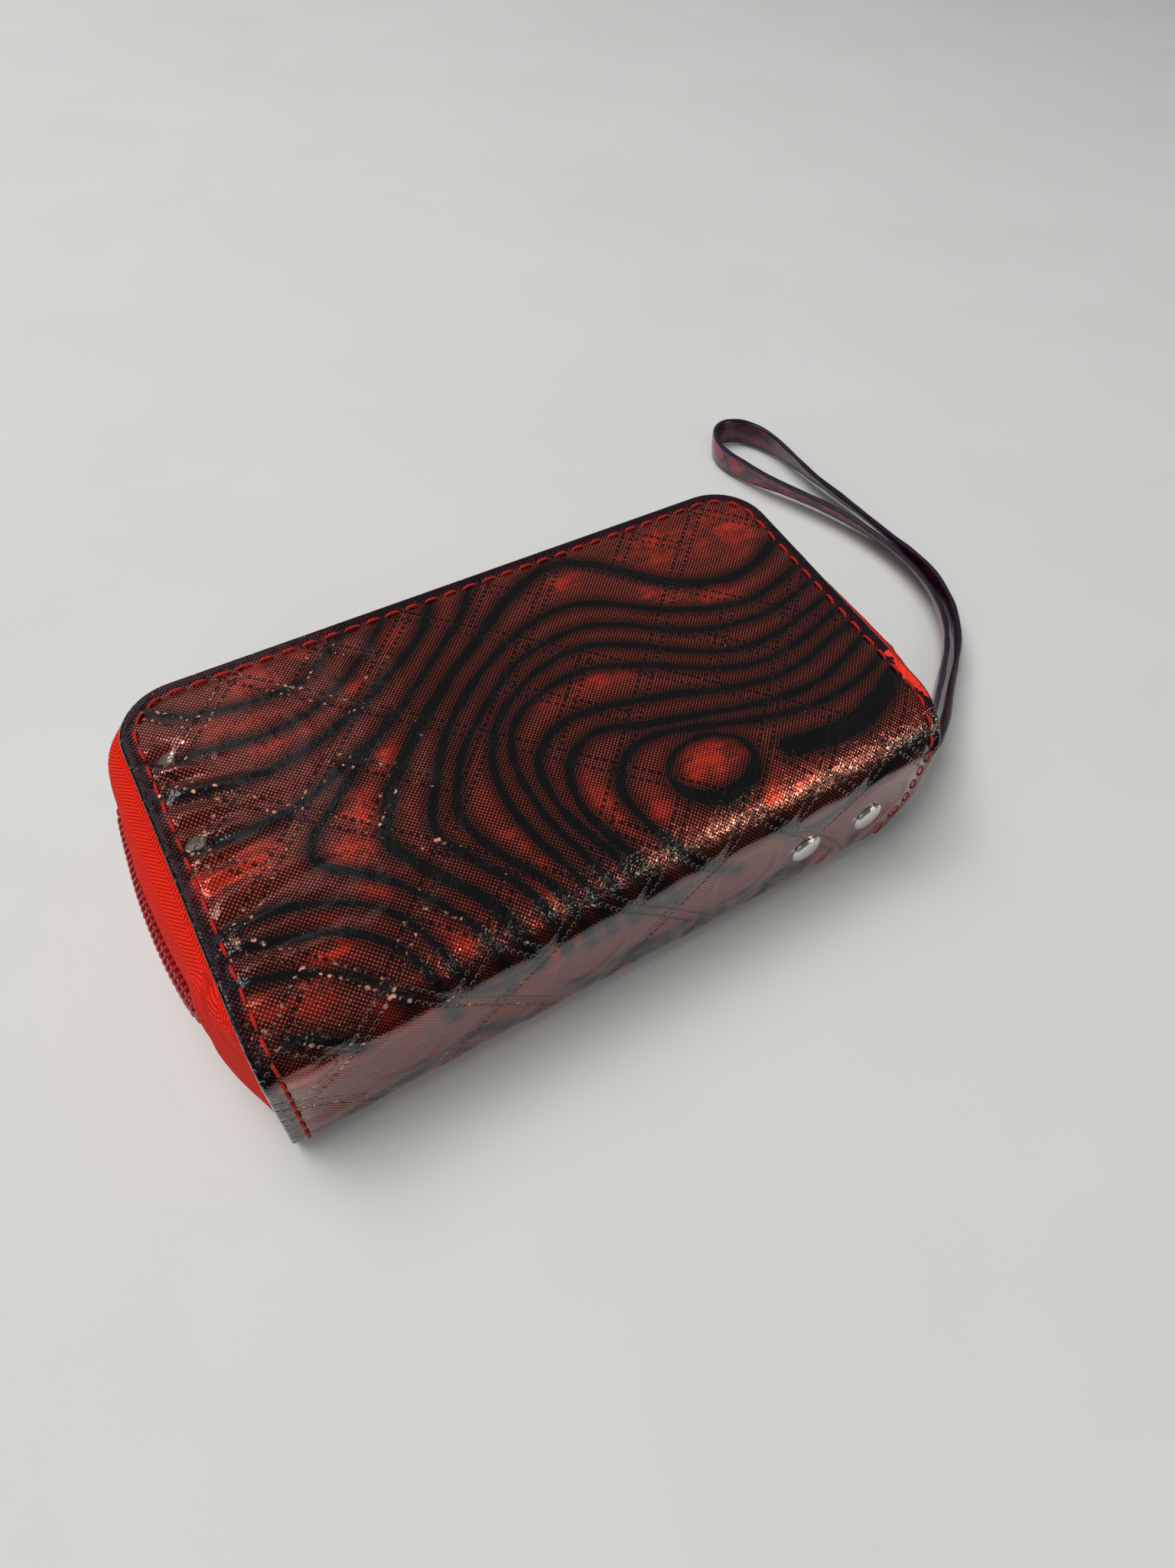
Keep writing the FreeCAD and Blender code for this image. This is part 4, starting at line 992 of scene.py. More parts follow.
def sort_normals(piece):
    """Turns every closed shape's faces outward, and keeps its sharp edges crisp."""
    work = bmesh.new()
    work.from_mesh(piece.data)
    bmesh.ops.recalc_face_normals(work, faces=work.faces)
    for edge in work.edges:
        edge.smooth = len(edge.link_faces) == 2 and edge.calc_face_angle() < SHARP
    work.to_mesh(piece.data)
    work.free()

def rounded_outline(corners, radius, steps=5):
    """A polygon's corners, given anticlockwise, each rounded by a short arc."""
    corners = np.asarray(corners, float)
    radii = np.broadcast_to(radius, (len(corners),))
    outline = []
    for k, corner in enumerate(corners):
        back = corners[k - 1] - corner
        on = corners[(k + 1) % len(corners)] - corner
        back /= np.linalg.norm(back)
        on /= np.linalg.norm(on)
        half = math.acos(np.clip(back @ on, -1, 1)) / 2
        reach_ = radii[k] / math.tan(half)
        start, end = corner + back * reach_, corner + on * reach_
        for j in range(steps + 1):
            f = j / steps
            outline.append((1 - f) ** 2 * start + 2 * f * (1 - f) * corner + f**2 * end)
    return np.array(outline)

def rectangle(left, low, right, high, radius):
    """A rounded rectangle's outline."""
    return rounded_outline([(left, low), (right, low), (right, high), (left, high)], radius)

# ---- seam stitches ------------------------------------------------------------------------------

STITCH = 3.6  # stitch pitch
STITCH_LENGTH = 2.6
THREAD = 0.24  # thread radius

def seam_route(length):
    """The seam line on a half's own sheet, as (x, t) points 0.1 mm apart."""
    radius = CORNER_RADIUS - STITCH_INSET
    far, near = LEFT + STITCH_INSET, RIGHT - STITCH_INSET
    angles = np.linspace(0, QUARTER, 30)
    left_arc = np.column_stack(
        [LEFT + CORNER_RADIUS - radius * np.cos(angles), CORNER_RADIUS - radius * np.sin(angles)]
    )
    right_arc = np.column_stack([LEFT + RIGHT - left_arc[::-1, 0], left_arc[::-1, 1]])
    corners = np.vstack([[(far, length)], left_arc, right_arc, [(near, length)]])
    travel = travel_along(corners)
    at = np.arange(0, travel[-1], 0.1)
    return np.column_stack([np.interp(at, travel, corners[:, 0]), np.interp(at, travel, corners[:, 1])])

def build_seam(name, upper, bodies, start, end, nodes):
    """Slack stitches that dip into needle holes at both ends, each hole a dark lens of painted shade."""
    length = UPPER_WRAP if upper else LOWER_WRAP
    route = seam_route(length)
    stitches, holes = Shapes(), Shapes()
    lift = 0.0 if upper else -0.45
    count = int(len(route) * 0.1 / STITCH)
    pitch = len(route) * 0.1 / count
    for k in range(count):
        middle = (k + 0.5) * pitch + dice.uniform(-0.12, 0.12)
        half = STITCH_LENGTH / 2 * dice.uniform(0.94, 1.04)
        slant = dice.uniform(-0.10, 0.10)
        f = np.linspace(-1, 1, 9)
        index = np.clip(((middle + f * half) * 10).astype(int), 0, len(route) - 1)
        x, t = route[index].T
        x = x + slant * f
        resting = smooth_step(length - SPLIT_Z + 2 - t, 0, 4) * lift
        out = resting - 0.12 + 0.30 * (1 - f**2) ** 0.5 - 0.42 * np.abs(f) ** 5
        line = wrap_place(upper, x, t, out)
        ahead = wrap_place(upper, x, t, out + 1.0) - line
        stitches.add_tube(line, THREAD * (1 - 0.3 * np.abs(f) ** 3), 8, up=ahead, flat=0.85, travel=k * pitch)
        for end_ in (0, -1):
            spot = line[end_] + ahead[end_] * (resting[end_] - 0.26 - out[end_])
            hole(holes, spot, ahead[end_])
    blend = (*bodies, start, end)
    stitches.piece(name, thread, nodes, blend=blend)
    holes.piece(name + "_holes", needle_hole_shade, blend=blend, slot="patent_skin")

def hole(shapes, at, out):
    """A small dimple seen as a flat dark lens: painted shade in the needle hole."""
    side = np.cross(out, (0.31, 0.87, 0.37))
    side /= np.linalg.norm(side)
    other = np.cross(out, side)
    profile = [(0.05, -0.14), (0.26, -0.12), (0.32, -0.04), (0.25, 0.03), (0.05, 0.05)]
    shapes.add_lathe(profile, 9, lambda a, b, h: at + side * a + other * b + out * h)

# ---- main zip -----------------------------------------------------------------------------------

TAIL_Y = box_mm("bottom_stop")[0][1]  # where the chain starts beside the spine
TAPE_START = -4.6  # where the tape starts, along the chain from its left tail
TAPE_STEP = 0.9
COIL_START = 2.9
COIL_STEP = 0.5
TAPE = 0.5  # tape thickness
SHEET_RIM = 0.4  # thickness of a soft sheet's rim, as a part of the sheet's own
COIL_OUT = 1.1  # half the coil's thickness
TOOTH = 1.25  # coil pitch
TOOTH_WIRE = 0.29
UPPER_COIL_Z = MID_Z + 1.2  # the two coils hook into each other across the middle
LOWER_COIL_Z = MID_Z - 1.2
COIL_HALF = 1.55
SLIDE_OUT = 2.2  # how far out the straight run is, where the slider goes

# How much fuller the upper tape stands above the chain, as the chain's own bulge is given.
BOW = [
    (-4.6, 0), (4, 0.0), (20, 0.0), (45, 0.1), (62, 0.4), (160, 0.5), (170, 1.2), (180, 1.8),
    (195, 1.9), (203, 2.3), (212, 2.6), (219, 2.2), (225, 1.1), (229.1, 0),
]

# How far the chain bulges out of the panel's edge: distance along it from the left tail, bulge.
BULGE = [
    (-4.6, -2.2), (0, 1.2), (10, 3.7), (20, 4.9), (32, 5.1), (42, 4.4), (50, 3.7), (57, 2.2), (64, 1.1),
    (76, 0.8), (150, 0.8), (163, 1.5), (172, SLIDE_OUT), (212, SLIDE_OUT), (218, 1.9), (224.5, 0.2),
    (229.1, -2.4),
]

def chain_route(start, step):
    """Places along the panels' edge: point, outward direction and distance from the left tail.

    The second result is how far the chain bulges there.
    """
    side = BACK - CORNER_RADIUS - TAIL_Y
    arc = QUARTER * CORNER_RADIUS
    straight = HALF - CORNER_RADIUS
    total = 2 * (side + arc + straight)
    found = []
    for s in np.arange(start, total - start, step):
        hand = -1 if s < total / 2 else 1
        run = min(s, total - s)
        turn = np.clip((run - side) / CORNER_RADIUS, 0, QUARTER)
        out_x, out_y = hand * math.cos(turn), math.sin(turn)
        x = MIDDLE_X + hand * straight + out_x * CORNER_RADIUS - hand * max(run - side - arc, 0)
        y = TAIL_Y + min(run, side) + out_y * CORNER_RADIUS
        found.append((x, y, out_x, out_y, s))
    found = np.array(found)
    return found, soft_table(BULGE, found[:, 4])

def under_skin(x, y, upper):
    """Height of the tape's hem just inside the cover, which bends down at the spine."""
    radius = (RIDGE_RADIUS if upper else BASE_RADIUS) - SKIN
    into = np.clip(FRONT + radius + SKIN - y, 0, radius)
    drop = radius - np.sqrt(radius**2 - into**2)
    if upper:
        z = STACK - SKIN - drop - 0.4
        return z + crown_shift(x, y, z)
    return BASE + SKIN + drop + 0.35

def tail_cover(s):
    """How far the tapes close over the chain's left tail beside the spine, from 0 to 1."""
    return smooth_step(-s, -13, -6)

def build_tape(name, upper, nodes, **riding):
    """Tape from its hem under the cover, out over the bulge and down to the coil."""
    route, bulge = chain_route(TAPE_START, TAPE_STEP)
    side = 1 if upper else -1
    hem = under_skin(route[:, 0], route[:, 1], upper)
    bow = soft_table(BOW, route[:, 4]) * (1.0 if upper else 0.35)
    tail = tail_cover(route[:, 4])
    rows = []
    wraps = []
    for (x, y, out_x, out_y, s), swell, top, full, over in zip(route, bulge, hem, bow, tail):
        near = MID_Z + side * (1.5 - 1.4 * over)
        swell = swell + 1.5 * over + 0.22 * noise.noise((s / 9, 0.3 if upper else 7.7, 1.0))
        hem_in = -1.0 - 4.6 * smooth_step(s, 2, 9) * smooth_step(s, 227, 218)
        stations = [(hem_in + (-0.9 - hem_in) * k / 5, top) for k in range(5)]
        for k in range(15):
            turn = k / 14 * QUARTER
            across = -0.9 + (swell - 0.55 + 0.9) * math.sin(turn) ** 0.7
            across += full * math.sin(2 * turn) ** 0.9
            stations.append((across, near + (top - near) * math.cos(turn) ** 0.62))
        stations = np.array(stations)
        ripple = 0.10 * noise.noise((s / 3.0, 4.0, 2.0)) * smooth_step(stations[:, 0], -1, 1.5)
        grid_x = x + out_x * (stations[:, 0] + ripple)
        grid_y = y + out_y * (stations[:, 0] + ripple)
        grid_x = grid_x + flare(grid_x, grid_y, stations[:, 1])
        rows.append(np.column_stack([grid_x, grid_y, stations[:, 1]]))
        width = travel_along(stations)
        wraps.append(np.column_stack([np.full(len(width), s), width, width * 0]))
    shapes = Shapes()
    add_sheet(shapes, np.array(rows), TAPE, np.array(wraps))
    shapes.piece(name, tape, nodes, **riding)

def add_sheet(shapes, grid, thickness, wraps=None):
    """A closed sheet about a grid of points, thinner at its rim."""
    down = np.gradient(grid, axis=0)
    across = np.gradient(grid, axis=1)
    normal = np.cross(down, across)
    normal /= np.linalg.norm(normal, axis=2)[..., None] + 1e-12
    half = np.full(grid.shape[:2], thickness / 2)
    half[0] = half[-1] = half[:, 0] = half[:, -1] = thickness / 2 * SHEET_RIM
    outer = grid + normal * half[..., None]
    inner = grid - normal * half[..., None]
    faces = sheet_faces(*grid.shape[:2]).tolist()
    both = None if wraps is None else np.vstack([wraps.reshape(-1, 3)] * 2)
    shapes.add(np.vstack([outer.reshape(-1, 3), inner.reshape(-1, 3)]), faces, both)

def build_coil(name, upper, nodes, **riding):
    """A nylon coil: one wire wound round a core cord, whose loops hook into the other coil's."""
    route, bulge = chain_route(COIL_START, COIL_STEP)
    middle = UPPER_COIL_Z if upper else LOWER_COIL_Z
    s = route[:, 4]
    per_turn = 11
    turns = int((s[-1] - s[0]) / TOOTH)
    at = s[0] + np.arange(turns * per_turn) * TOOTH / per_turn
    phase = np.arange(len(at)) * TURN / per_turn + (0 if upper else math.pi)
    fields = [np.interp(at, s, column) for column in (*route[:, :4].T, bulge)]
    x, y, out_x, out_y, swell = fields
    swell = swell - 1.1 * tail_cover(at)
    out = swell + COIL_OUT * np.cos(phase)
    height = middle + (COIL_HALF - TOOTH_WIRE) * np.sin(phase)
    line = np.column_stack([x + out_x * out, y + out_y * out, height])
    forward = np.column_stack([out_y, -out_x, np.zeros(len(x))])
    shapes = Shapes()
    shapes.add_tube(line, TOOTH_WIRE, 6, up=forward)
    core = np.column_stack([x + out_x * swell, y + out_y * swell, np.full(len(x), middle)])[:: per_turn // 2]
    shapes.add_tube(core, 0.62, 8)
    shapes.piece(name, coil, nodes, **riding)

def build_stop(name, node, body, tuck):
    """A crimped metal stop: a block with rounded edges and a pinched waist, tucked in by the tape."""
    low, high = box_mm(node)
    inward = 1.0 if low[0] < 0 else -1.0
    low[0] += tuck * inward + 0.35
    high[0] += tuck * inward - 0.35
    low[2] += 0.3
    high[2] -= 0.3
    shapes = Shapes()
    outline = rectangle(low[1], low[2], high[1], high[2], 0.5)
    centre = (low[1] + high[1]) / 2

    def place(along, up, out):
        pinch = 0.18 * math.exp(-(((along - centre) / 0.5) ** 2))
        middle = (low[0] + high[0]) / 2
        return (middle + (out - middle) * (1 - pinch), along, up)

    shapes.add_slab(outline, low[0], high[0], 0.35, place)
    shapes.piece(name, nickel, [node], body)

# ---- sliders and pulls --------------------------------------------------------------------------

def build_slider(names, nodes, bodies, centre, out, up, sizes):
    """A slider and its pull.

    out points from the tape to the pull's side, up points to the pull's tip, and the third
    direction runs along the chain. The sizes are the plates' thickness, half length and half width,
    half the gap between them, the rails' width, the bar's radius, the pull's thickness and half
    width, the bridge's leg, and the pull's length.
    """
    plate, half_long, half_wide, near, flange, bar, knuckle, half_pull, leg, length = sizes
    centre, out, up = (np.array(v, float) for v in (centre, out, up))
    along = np.cross(out, up)
    far = near + plate
    axis = far + bar + 0.1 + knuckle + 0.15

    def plate_place(a, b, h):
        return centre + along * a + up * b + out * h

    shield = rounded_outline(
        [
            (-half_long, -half_wide * 0.62), (-half_long * 0.1, -half_wide), (half_long * 0.75, -half_wide),
            (half_long, -half_wide * 0.35), (half_long, half_wide * 0.35), (half_long * 0.75, half_wide),
            (-half_long * 0.1, half_wide), (-half_long, half_wide * 0.62),
        ],
        0.9 * plate,
    )
    body = Shapes()
    body.add_slab(shield, near, far, 0.3 * plate, plate_place)
    body.add_slab(shield, -far, -near, 0.3 * plate, plate_place)
    web = rectangle(-half_long, -0.3, half_long * 0.95, 0.3, 0.2)
    body.add_slab(web, -near - 0.1, near + 0.1, 0.1, plate_place)
    for sign in (-1, 1):
        edge = sorted((sign * (half_wide - flange), sign * half_wide))
        rail = rectangle(-half_long * 0.1, edge[0], half_long * 0.75, edge[1], flange * 0.3)
        lip = 0.55 * (near - 0.5)
        for low, high in ((near - lip, near + 0.1), (-near - 0.1, -near + lip)):
            body.add_slab(rail, low, high, 0.1, plate_place)
    end = half_pull + 0.3 + leg / 2
    rise = [(-end, far - 0.2), (-end, axis - 0.5), (-end + 0.35, axis)]
    arch = smooth_line([*rise, (0, axis), *((-a, h) for a, h in reversed(rise))], 4)
    line = [plate_place(a, 0, h) for a, h in arch]
    body.add_tube(line, bar * 0.95, 12, up=up)
    body.piece(names[0], nickel, [nodes[0]], bodies[0])

    pull = Shapes()
    ring_inner = bar + 0.1
    ring_outer = ring_inner + knuckle
    circle = [(math.cos(TURN * k / 24), math.sin(TURN * k / 24)) for k in range(24)]
    section = ((-1, ring_inner), (-1, ring_outer), (1, ring_outer), (1, ring_inner), (-1, ring_inner))
    rings = []
    for side, radius in section:
        inset = 0.15 if radius == ring_outer else 0.0
        rings.append([(side * (half_pull - inset), radius * c, radius * s) for c, s in circle])
    points = [centre + along * a + out * (axis + o) + up * u for ring in rings for a, o, u in ring]
    pull.add(points, tube_faces(len(rings), len(circle), capped=False))
    waist = half_pull * 0.72
    right = [
        (half_pull * 0.8, ring_inner * 0.6), (waist, length * 0.28), (half_pull, length * 0.62),
        (half_pull, length - 0.6), (half_pull * 0.5, length),
    ]
    left = [(-a, b) for a, b in right]
    tab = rounded_outline([left[0], *right, *reversed(left[1:])], 0.5)
    pull.add_slab(tab, axis - ring_outer, axis - ring_inner, 0.28 * knuckle, plate_place)
    pad = rectangle(-half_pull * 0.55, length * 0.6, half_pull * 0.55, length * 0.9, 0.5)
    pull.add_slab(pad, axis - ring_inner - 0.1, axis - ring_inner + 0.16, 0.12, plate_place)
    pull.piece(names[1], nickel, [nodes[1]], bodies[1])

def build_rivets():
    """Two domed caps, each with a fine rolled rim, on the spine."""
    shapes = Shapes()
    r = 0.92 * RIVET_RADIUS
    profile = [(0.02, 0.9), (r * 0.9, 0.9), (r * 0.97, 0.6), (r, 0.30), (r * 0.99, 0.10), (r * 0.95, -0.02)]
    for k in range(10):
        turn = k / 9 * QUARTER
        profile.append((max(r * 0.90 * math.cos(turn), 0.02), -0.06 - 0.42 * math.sin(turn)))
    for x in RIVETS_X:
        shapes.add_lathe(profile, 40, lambda a, b, h, x=x: (x + a, FRONT + h, RIVET_Z + b))
    shapes.piece("rivet_cap_pair", nickel, ["rivet_caps"], "spine")

# ---- inside -------------------------------------------------------------------------------------

SOFT_STEP = 1.6  # distance between a soft sheet's points
WAVE_LENGTH = 16.0  # of a soft sheet's slow waves
SEWN_PITCH = 3.0  # stitch pitch of the seams inside
SEWN_HALF = 1.05  # half the length of such a stitch
SEWN_THREAD = 0.17  # radius of its thread

def soft_sheet(name, node, material, body, corner=0.0, wave=0.0, seams=()):
    """Thin soft pieces that fill the boxes of a node's solids, with rounded rims and slow waves.

    seams are stitched lines, each (edge, inset): edge is "far", "near", "left" or "right".
    """
    shapes, stitches = Shapes(), Shapes()
    for number, (low, high) in enumerate(boxes_of(node)):
        add_soft_box(shapes, stitches, low, high, corner, wave, seams, number)
    if body == "top_cover":
        for group in (shapes, stitches):
            group.points = [(x, y, z + float(crown_shift(x, y, STACK))) for x, y, z in group.points]
    shapes.piece(name, material, [node], body)
    if stitches.points:
        stitches.piece(name + "_stitches", thread, (), body)

def boxes_of(node):
    """The box of each separate solid in a node."""
    found = []
    work = bmesh.new()
    work.from_mesh(bpy.data.objects[node].data)
    bmesh.ops.remove_doubles(work, verts=work.verts, dist=1e-7)
    left = set(work.verts)
    while left:
        group = {left.pop()}
        rim = set(group)
        while rim:
            rim = {e.other_vert(v) for v in rim for e in v.link_edges} - group
            group |= rim
        left -= group
        places = np.array([v.co for v in group]) / MM
        found.append((places.min(axis=0), places.max(axis=0)))
    work.free()
    return sorted(found, key=lambda pair: tuple(pair[0].round(2)))

def add_soft_box(shapes, stitches, low, high, corner, wave, seams, number):
    """One soft sheet in the box from low to high, and its seams."""
    size_ = high - low
    thin = int(np.argmin(size_))
    first, second = [axis for axis in range(3) if axis != thin]
    thick = size_[thin]
    fine = np.array([0.12, 0.3, 0.6]) * min(1.0, size_[first] / 4, size_[second] / 4)
    across = graded_run(size_[first], SOFT_STEP, fine)
    deep = graded_run(size_[second], SOFT_STEP, fine)
    b, a = np.meshgrid(deep, across, indexing="ij")
    half_width = size_[first] / 2
    into = np.clip(corner - (size_[second] - b), 0, None)
    narrow = half_width - corner + np.sqrt(np.maximum(corner**2 - into**2, 0)) if corner else half_width
    a = (a / half_width - 1) * narrow
    edge = np.minimum(narrow - np.abs(a), np.minimum(b, size_[second] - b))
    round_ = min(thick / 2, EDGE_RADIUS)
    over = np.clip(round_ - edge, 0, round_)
    half = thick / 2 - round_ + np.sqrt(np.maximum(round_**2 - over**2, 0))
    middle = low[thin] + thick / 2 + wave * noise_at(a / WAVE_LENGTH, b / WAVE_LENGTH, 3.0 + number)
    n, m = a.shape

    def assemble(height):
        points = np.empty((n, m, 3))
        points[..., first] = low[first] + half_width + a
        points[..., second] = low[second] + b
        points[..., thin] = height
        return points.reshape(-1, 3)

    points = np.vstack([assemble(middle + half), assemble(middle - half)])
    wraps = np.column_stack([a.ravel(), b.ravel(), np.zeros(n * m)])
    shapes.add(points, sheet_faces(n, m).tolist(), np.vstack([wraps, wraps]))
    for edge_name, inset in seams:
        add_soft_seam(stitches, low, high, (first, second, thin), edge_name, inset, corner, wave, number)

def graded_run(length, step, fine):
    """Places from 0 to length about a step apart, closer together at both ends."""
    count = max(2, int(length / step))
    inner = np.linspace(fine[-1], length - fine[-1], count + 1)[1:-1]
    return np.concatenate([[0], fine, inner, length - fine[::-1], [length]])

def add_soft_seam(stitches, low, high, axes, edge_name, inset, corner, wave, number):
    """Small stitches on both faces of a soft sheet, along one of its edges."""
    first, second, thin = axes
    size_ = high - low
    along_first = edge_name in ("far", "near")
    start = max(inset, corner if edge_name == "far" else 0) + 1.2
    length = (size_[first] if along_first else size_[second]) - 2 * start
    if length < 3:
        return
    for sign in (-1, 1):
        for k in range(int(length / SEWN_PITCH)):
            f = np.linspace(-1, 1, 5)
            run = start + (k + 0.5) * SEWN_PITCH + f * SEWN_HALF
            where = size_[second] - inset if edge_name == "far" else inset
            where = size_[first] - inset if edge_name == "right" else where
            a = run if along_first else np.full(5, where)
            b = np.full(5, where) if along_first else run
            slow = noise_at((a - size_[first] / 2) / WAVE_LENGTH, b / WAVE_LENGTH, 3.0 + number)
            height = (low + high)[thin] / 2 + wave * slow
            height = height + sign * (size_[thin] / 2 + 0.10 - 0.30 * np.abs(f) ** 4)
            line = np.empty((5, 3))
            line[:, first] = low[first] + a
            line[:, second] = low[second] + b
            line[:, thin] = height
            up = np.zeros(3)
            up[thin] = sign
            stitches.add_tube(line, SEWN_THREAD, 6, up=up)

POUCH_FOLD = 2.6  # how far the pouch's folded front reaches back
POUCH_STEP = 1.8  # distance between the pouch's points
POUCH_PITCH = 1.0  # its coil's pitch
POUCH_WIRE = 0.22  # radius of that coil's wire

def build_pouch():
    """The coin pouch: a sewn bag with a folded front, crowned faces and a zipped mouth."""
    low, high = box_mm("pouch_lower_wall")
    width, depth = high[0] - low[0], high[1] - low[1]
    half_high = (box_mm("pouch_upper_wall")[1][2] - low[2]) / 2
    middle_x, front = (low[0] + high[0]) / 2, low[1]
    wall = high[2] - low[2]
    across = graded_run(width, POUCH_STEP, np.array([0.15, 0.4, 0.8]))
    turns = np.linspace(0, math.pi, 15)
    section = [(d, half_high) for d in np.linspace(depth, POUCH_FOLD, 20)]
    section += [(POUCH_FOLD - POUCH_FOLD * math.sin(a), half_high * math.cos(a)) for a in turns[1:-1]]
    section += [(d, -half_high) for d in np.linspace(POUCH_FOLD, depth, 20)]
    section = np.array(section)
    rows = []
    for a in across:
        edge = min(a, width - a)
        full = 1 - math.exp(-edge / 5.0)
        pinch = smooth_step(edge, 0.0, 2.4) * 0.30 + 0.70
        column = []
        for d, h in section:
            slow = noise.noise(((a - width / 2) / 15, d / 15, 1.5 if h > 0 else 6.5))
            mouth = smooth_step(depth - d, 0, 9)
            swell = (0.75 * full + 0.35 * slow) * mouth * smooth_step(d, 0, 6)
            column.append((middle_x - width / 2 + a, front + d, MID_Z + h * pinch + math.copysign(swell, h)))
        rows.append(column)
    shell, stitches = Shapes(), Shapes()
    add_sheet(shell, np.array(rows), wall)
    for sign in (-1, 1):
        side_rows = []
        for d in np.linspace(POUCH_FOLD * 0.6, depth, 22):
            h = (half_high * 0.70) * math.sqrt(max(1 - max(1 - d / POUCH_FOLD, 0) ** 2, 0))
            side_x = middle_x + sign * (width / 2 - 0.35)
            side_rows.append([(side_x, front + d, MID_Z + h * k) for k in np.linspace(-1, 1, 7)])
        add_sheet(shell, np.array(side_rows), wall)
    for sign in (-1, 1):
        f = np.linspace(-1, 1, 5)
        for k in range(int((depth - 8) / SEWN_PITCH)):
            for face in (-1, 1):
                y = front + 5 + (k + 0.5) * SEWN_PITCH + f * SEWN_HALF
                z = MID_Z + face * (half_high * 0.93 + 0.60 - 0.3 * np.abs(f) ** 4)
                x = np.full(5, middle_x + sign * (width / 2 - 1.6))
                stitches.add_tube(np.column_stack([x, y, z]), SEWN_THREAD, 6)
    nodes = ["pouch_lower_wall", "pouch_upper_wall", "pouch_side_walls", "pouch_fold"]
    shell.piece("pouch_shell", card_sheet, nodes, "coin_pouch")
    stitches.piece("pouch_shell_stitches", thread, (), "coin_pouch")
    for side, sign in (("upper", 1), ("lower", -1)):
        soft_sheet(f"pouch_{side}_zip_cloth", f"pouch_{side}_tape", tape, "coin_pouch", wave=0.05)
        low, high = box_mm(f"pouch_{side}_coil")
        centre_y, centre_z = (low[1] + high[1]) / 2, (low[2] + high[2]) / 2 - sign * 0.25
        turns_ = int((high[0] - low[0]) / POUCH_PITCH)
        k = np.arange(turns_ * 10)
        phase = k * TURN / 10 + (0 if sign > 0 else math.pi)
        line = np.column_stack(
            [
                low[0] + 0.3 + k * 0.1 * (high[0] - low[0] - 0.6) / turns_,
                centre_y + 0.75 * np.cos(phase),
                centre_z + 0.95 * np.sin(phase),
            ]
        )
        wire = Shapes()
        wire.add_tube(line, POUCH_WIRE, 6, up=(1.0, 0.0, 0.0))
        core = np.array([(x, centre_y, centre_z) for x in np.linspace(low[0] + 0.3, high[0] - 0.3, 60)])
        wire.add_tube(core, 0.45, 8)
        wire.piece(f"pouch_{side}_zip_coil", coil, [f"pouch_{side}_coil"], "coin_pouch")

def build_inside():
    """Linings, stepped card slots with sewn mouths, the page strip and the strap's tail."""
    soft_sheet("top_stiffener", "top_board", board, "top_cover", corner=3.7)
    soft_sheet("top_lining_cloth", "top_lining", lining, "top_cover", corner=8.2, wave=0.05)
    soft_sheet("bottom_lining_cloth", "bottom_lining", lining, "bottom_cover", corner=8.2, wave=0.05)
    soft_sheet("spine_lining_cloth", "spine_lining", lining, "spine")
    for side, body in (("upper", "top_cover"), ("lower", "bottom_cover")):
        for step in (1, 2, 3):
            node = f"{side}_card_slot_{step}"
            edges = [("far", 1.4), ("left", 1.4), ("right", 1.4)]
            soft_sheet(node + "_sheet", node, card_sheet, body, corner=1.5, wave=0.08, seams=edges)
        node = f"{side}_slot_welts"
        soft_sheet(node + "_cloth", node, lining, body)
    for node, body in (("page_strip_spine_side", "spine"), ("page_strip_pouch_side", "coin_pouch")):
        soft_sheet(node + "_cloth", node, lining, body)
    soft_sheet("strap_tail_band", "strap_tail", strap_skin, "spine", corner=1.0, seams=[("far", 1.2)])

def finish_carried_nodes():
    """Materials for the CAD nodes that stay."""
    kept = {"bottom_board": board, "spine_board": board, "rivet_posts": nickel, "rivet_washers": nickel}
    for node, material in kept.items():
        mesh = bpy.data.objects[node].data
        mesh.materials.clear()
        mesh.materials.append(material.data)

# ---- everything in place ------------------------------------------------------------------------

# Places for pieces that belong to two bodies, the first body's side, then the second's, in metres; they are
# passed on but not used.
RIDGE_BEND = ((0, FRONT * MM, 0.0225), (0, (FRONT + RIDGE_RADIUS) * MM, 0.032))
BASE_BEND = ((0, FRONT * MM, 0.005), (0, (FRONT + BASE_RADIUS) * MM, 0))
ZIP_BEND = ((0, -0.0305, 0), (0, -0.0045, 0))

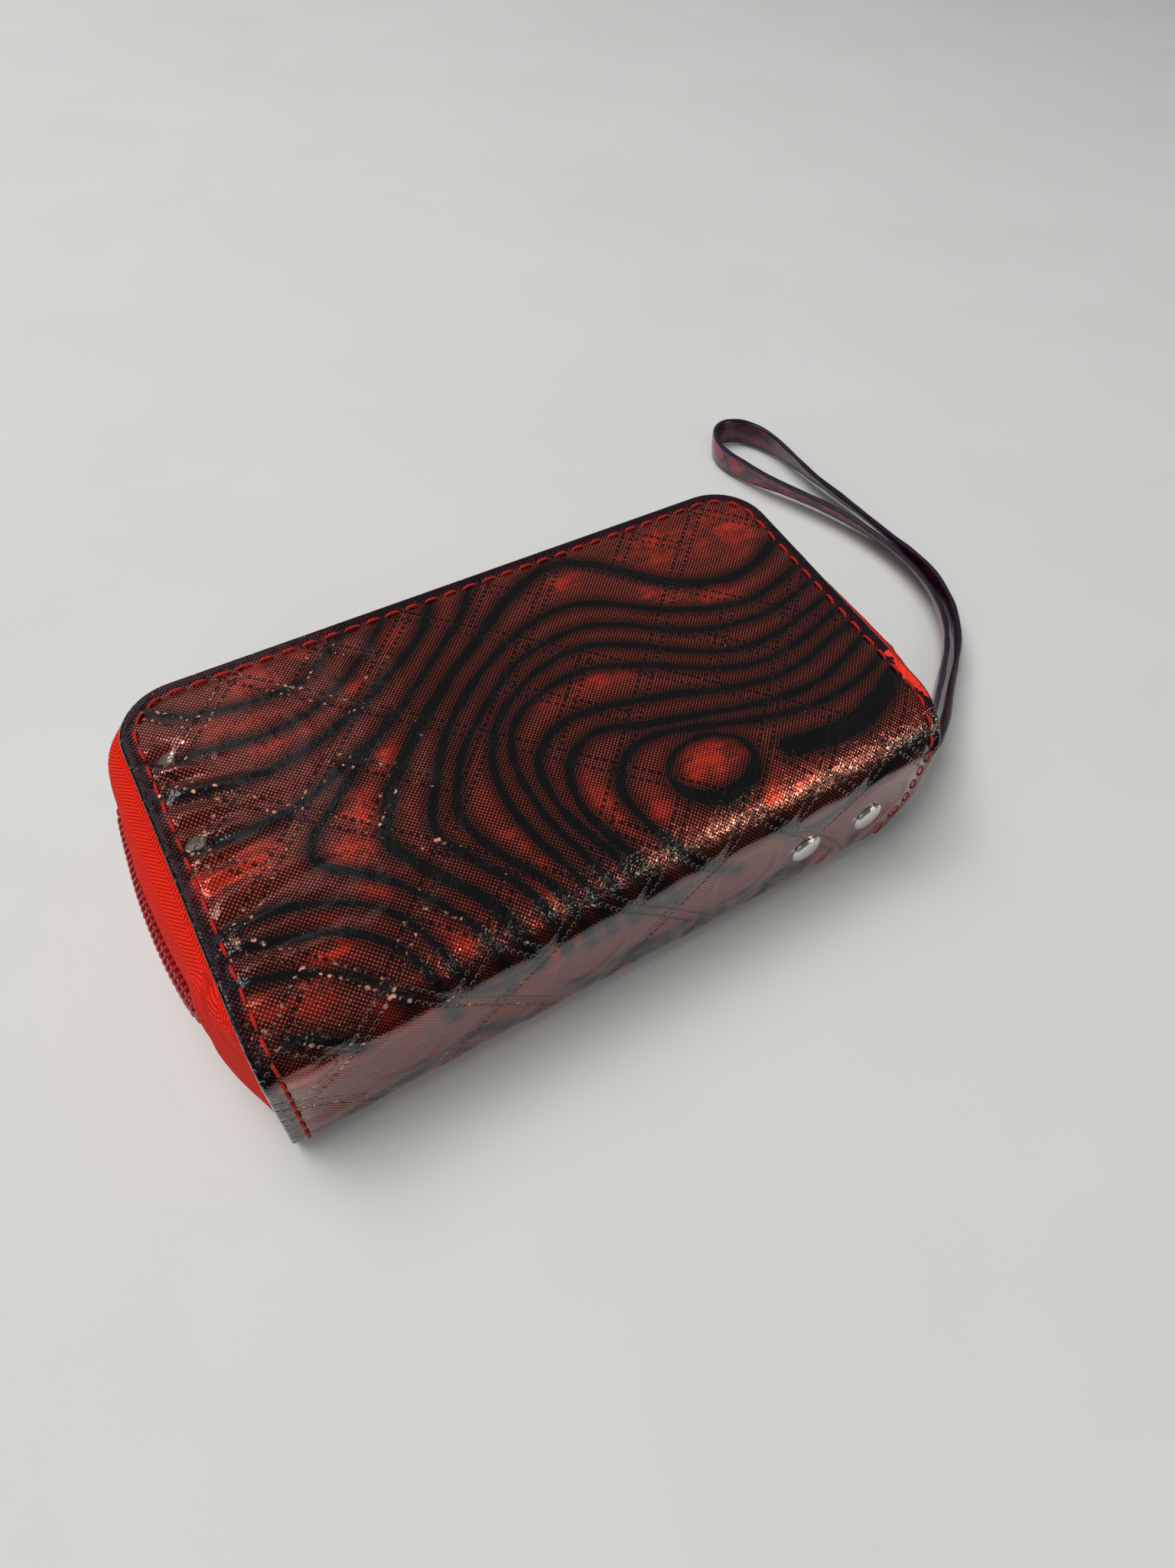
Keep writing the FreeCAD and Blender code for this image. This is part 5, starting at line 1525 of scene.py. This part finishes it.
build_cover("cover_top_half", True, "spine", "top_cover", *RIDGE_BEND, ["top_cover_skin", "spine_skin"])
build_cover("cover_bottom_half", False, "spine", "bottom_cover", *BASE_BEND, ["bottom_cover_skin"])
spine_first = ("spine", "top_cover")
build_seam("top_seam", True, spine_first, *RIDGE_BEND, ["top_seam_thread", "spine_seam_threads"])
build_seam("bottom_seam", False, ("spine", "bottom_cover"), *BASE_BEND, ["bottom_seam_thread"])
upper_ride = {"blend": ("spine", "top_cover", *ZIP_BEND)}
upper_tapes = ["upper_zip_tape", "upper_tape_margin", "upper_tape_tails"]
build_tape("upper_tape_cloth", True, upper_tapes, **upper_ride)
build_tape("lower_tape_cloth", False, ["lower_zip_tape", "lower_tape_margin"], body="bottom_cover")
build_coil("upper_coil_wire", True, ["upper_zip_coil", "upper_coil_tails"], **upper_ride)
build_coil("lower_coil_wire", False, ["lower_zip_coil"], body="bottom_cover")
build_stop("chain_bottom_stop", "bottom_stop", "bottom_cover", 2.6)
build_stop("chain_top_stop", "upper_top_stop", "top_cover", 1.6)
build_stop("chain_lower_stop", "lower_top_stop", "bottom_cover", 1.6)
SLIDER_AT = (RIGHT + SLIDE_OUT, -12.425, MID_Z)
SLIDER_SIZES = (1.0, 5.4, 4.6, 1.6, 1.2, 0.9, 0.7, 2.2, 0.9, 13.0)
POUCH_SLIDER_AT = (MIDDLE_X + 38.0, FRONT + 44.3, MID_Z)
POUCH_SLIDER_SIZES = (0.9, 3.8, 2.9, 1.3, 0.5, 0.6, 0.5, 1.6, 0.7, 7.0)

build_slider(
    ("slider_shell", "slider_pull"),
    ("zip_slider_body", "zip_pull_tab"),
    ("zip_slider", "zip_pull"),
    SLIDER_AT, (1, 0, 0), (0, 0, 1), SLIDER_SIZES,
)
build_slider(
    ("pouch_slider_shell", "pouch_slider_pull"),
    ("pouch_slider_body", "pouch_pull_tab"),
    ("pouch_slider", "pouch_pull"),
    POUCH_SLIDER_AT, (0, 1, 0), (0, 0, -1), POUCH_SLIDER_SIZES,
)
build_rivets()
build_pouch()
build_inside()
finish_carried_nodes()
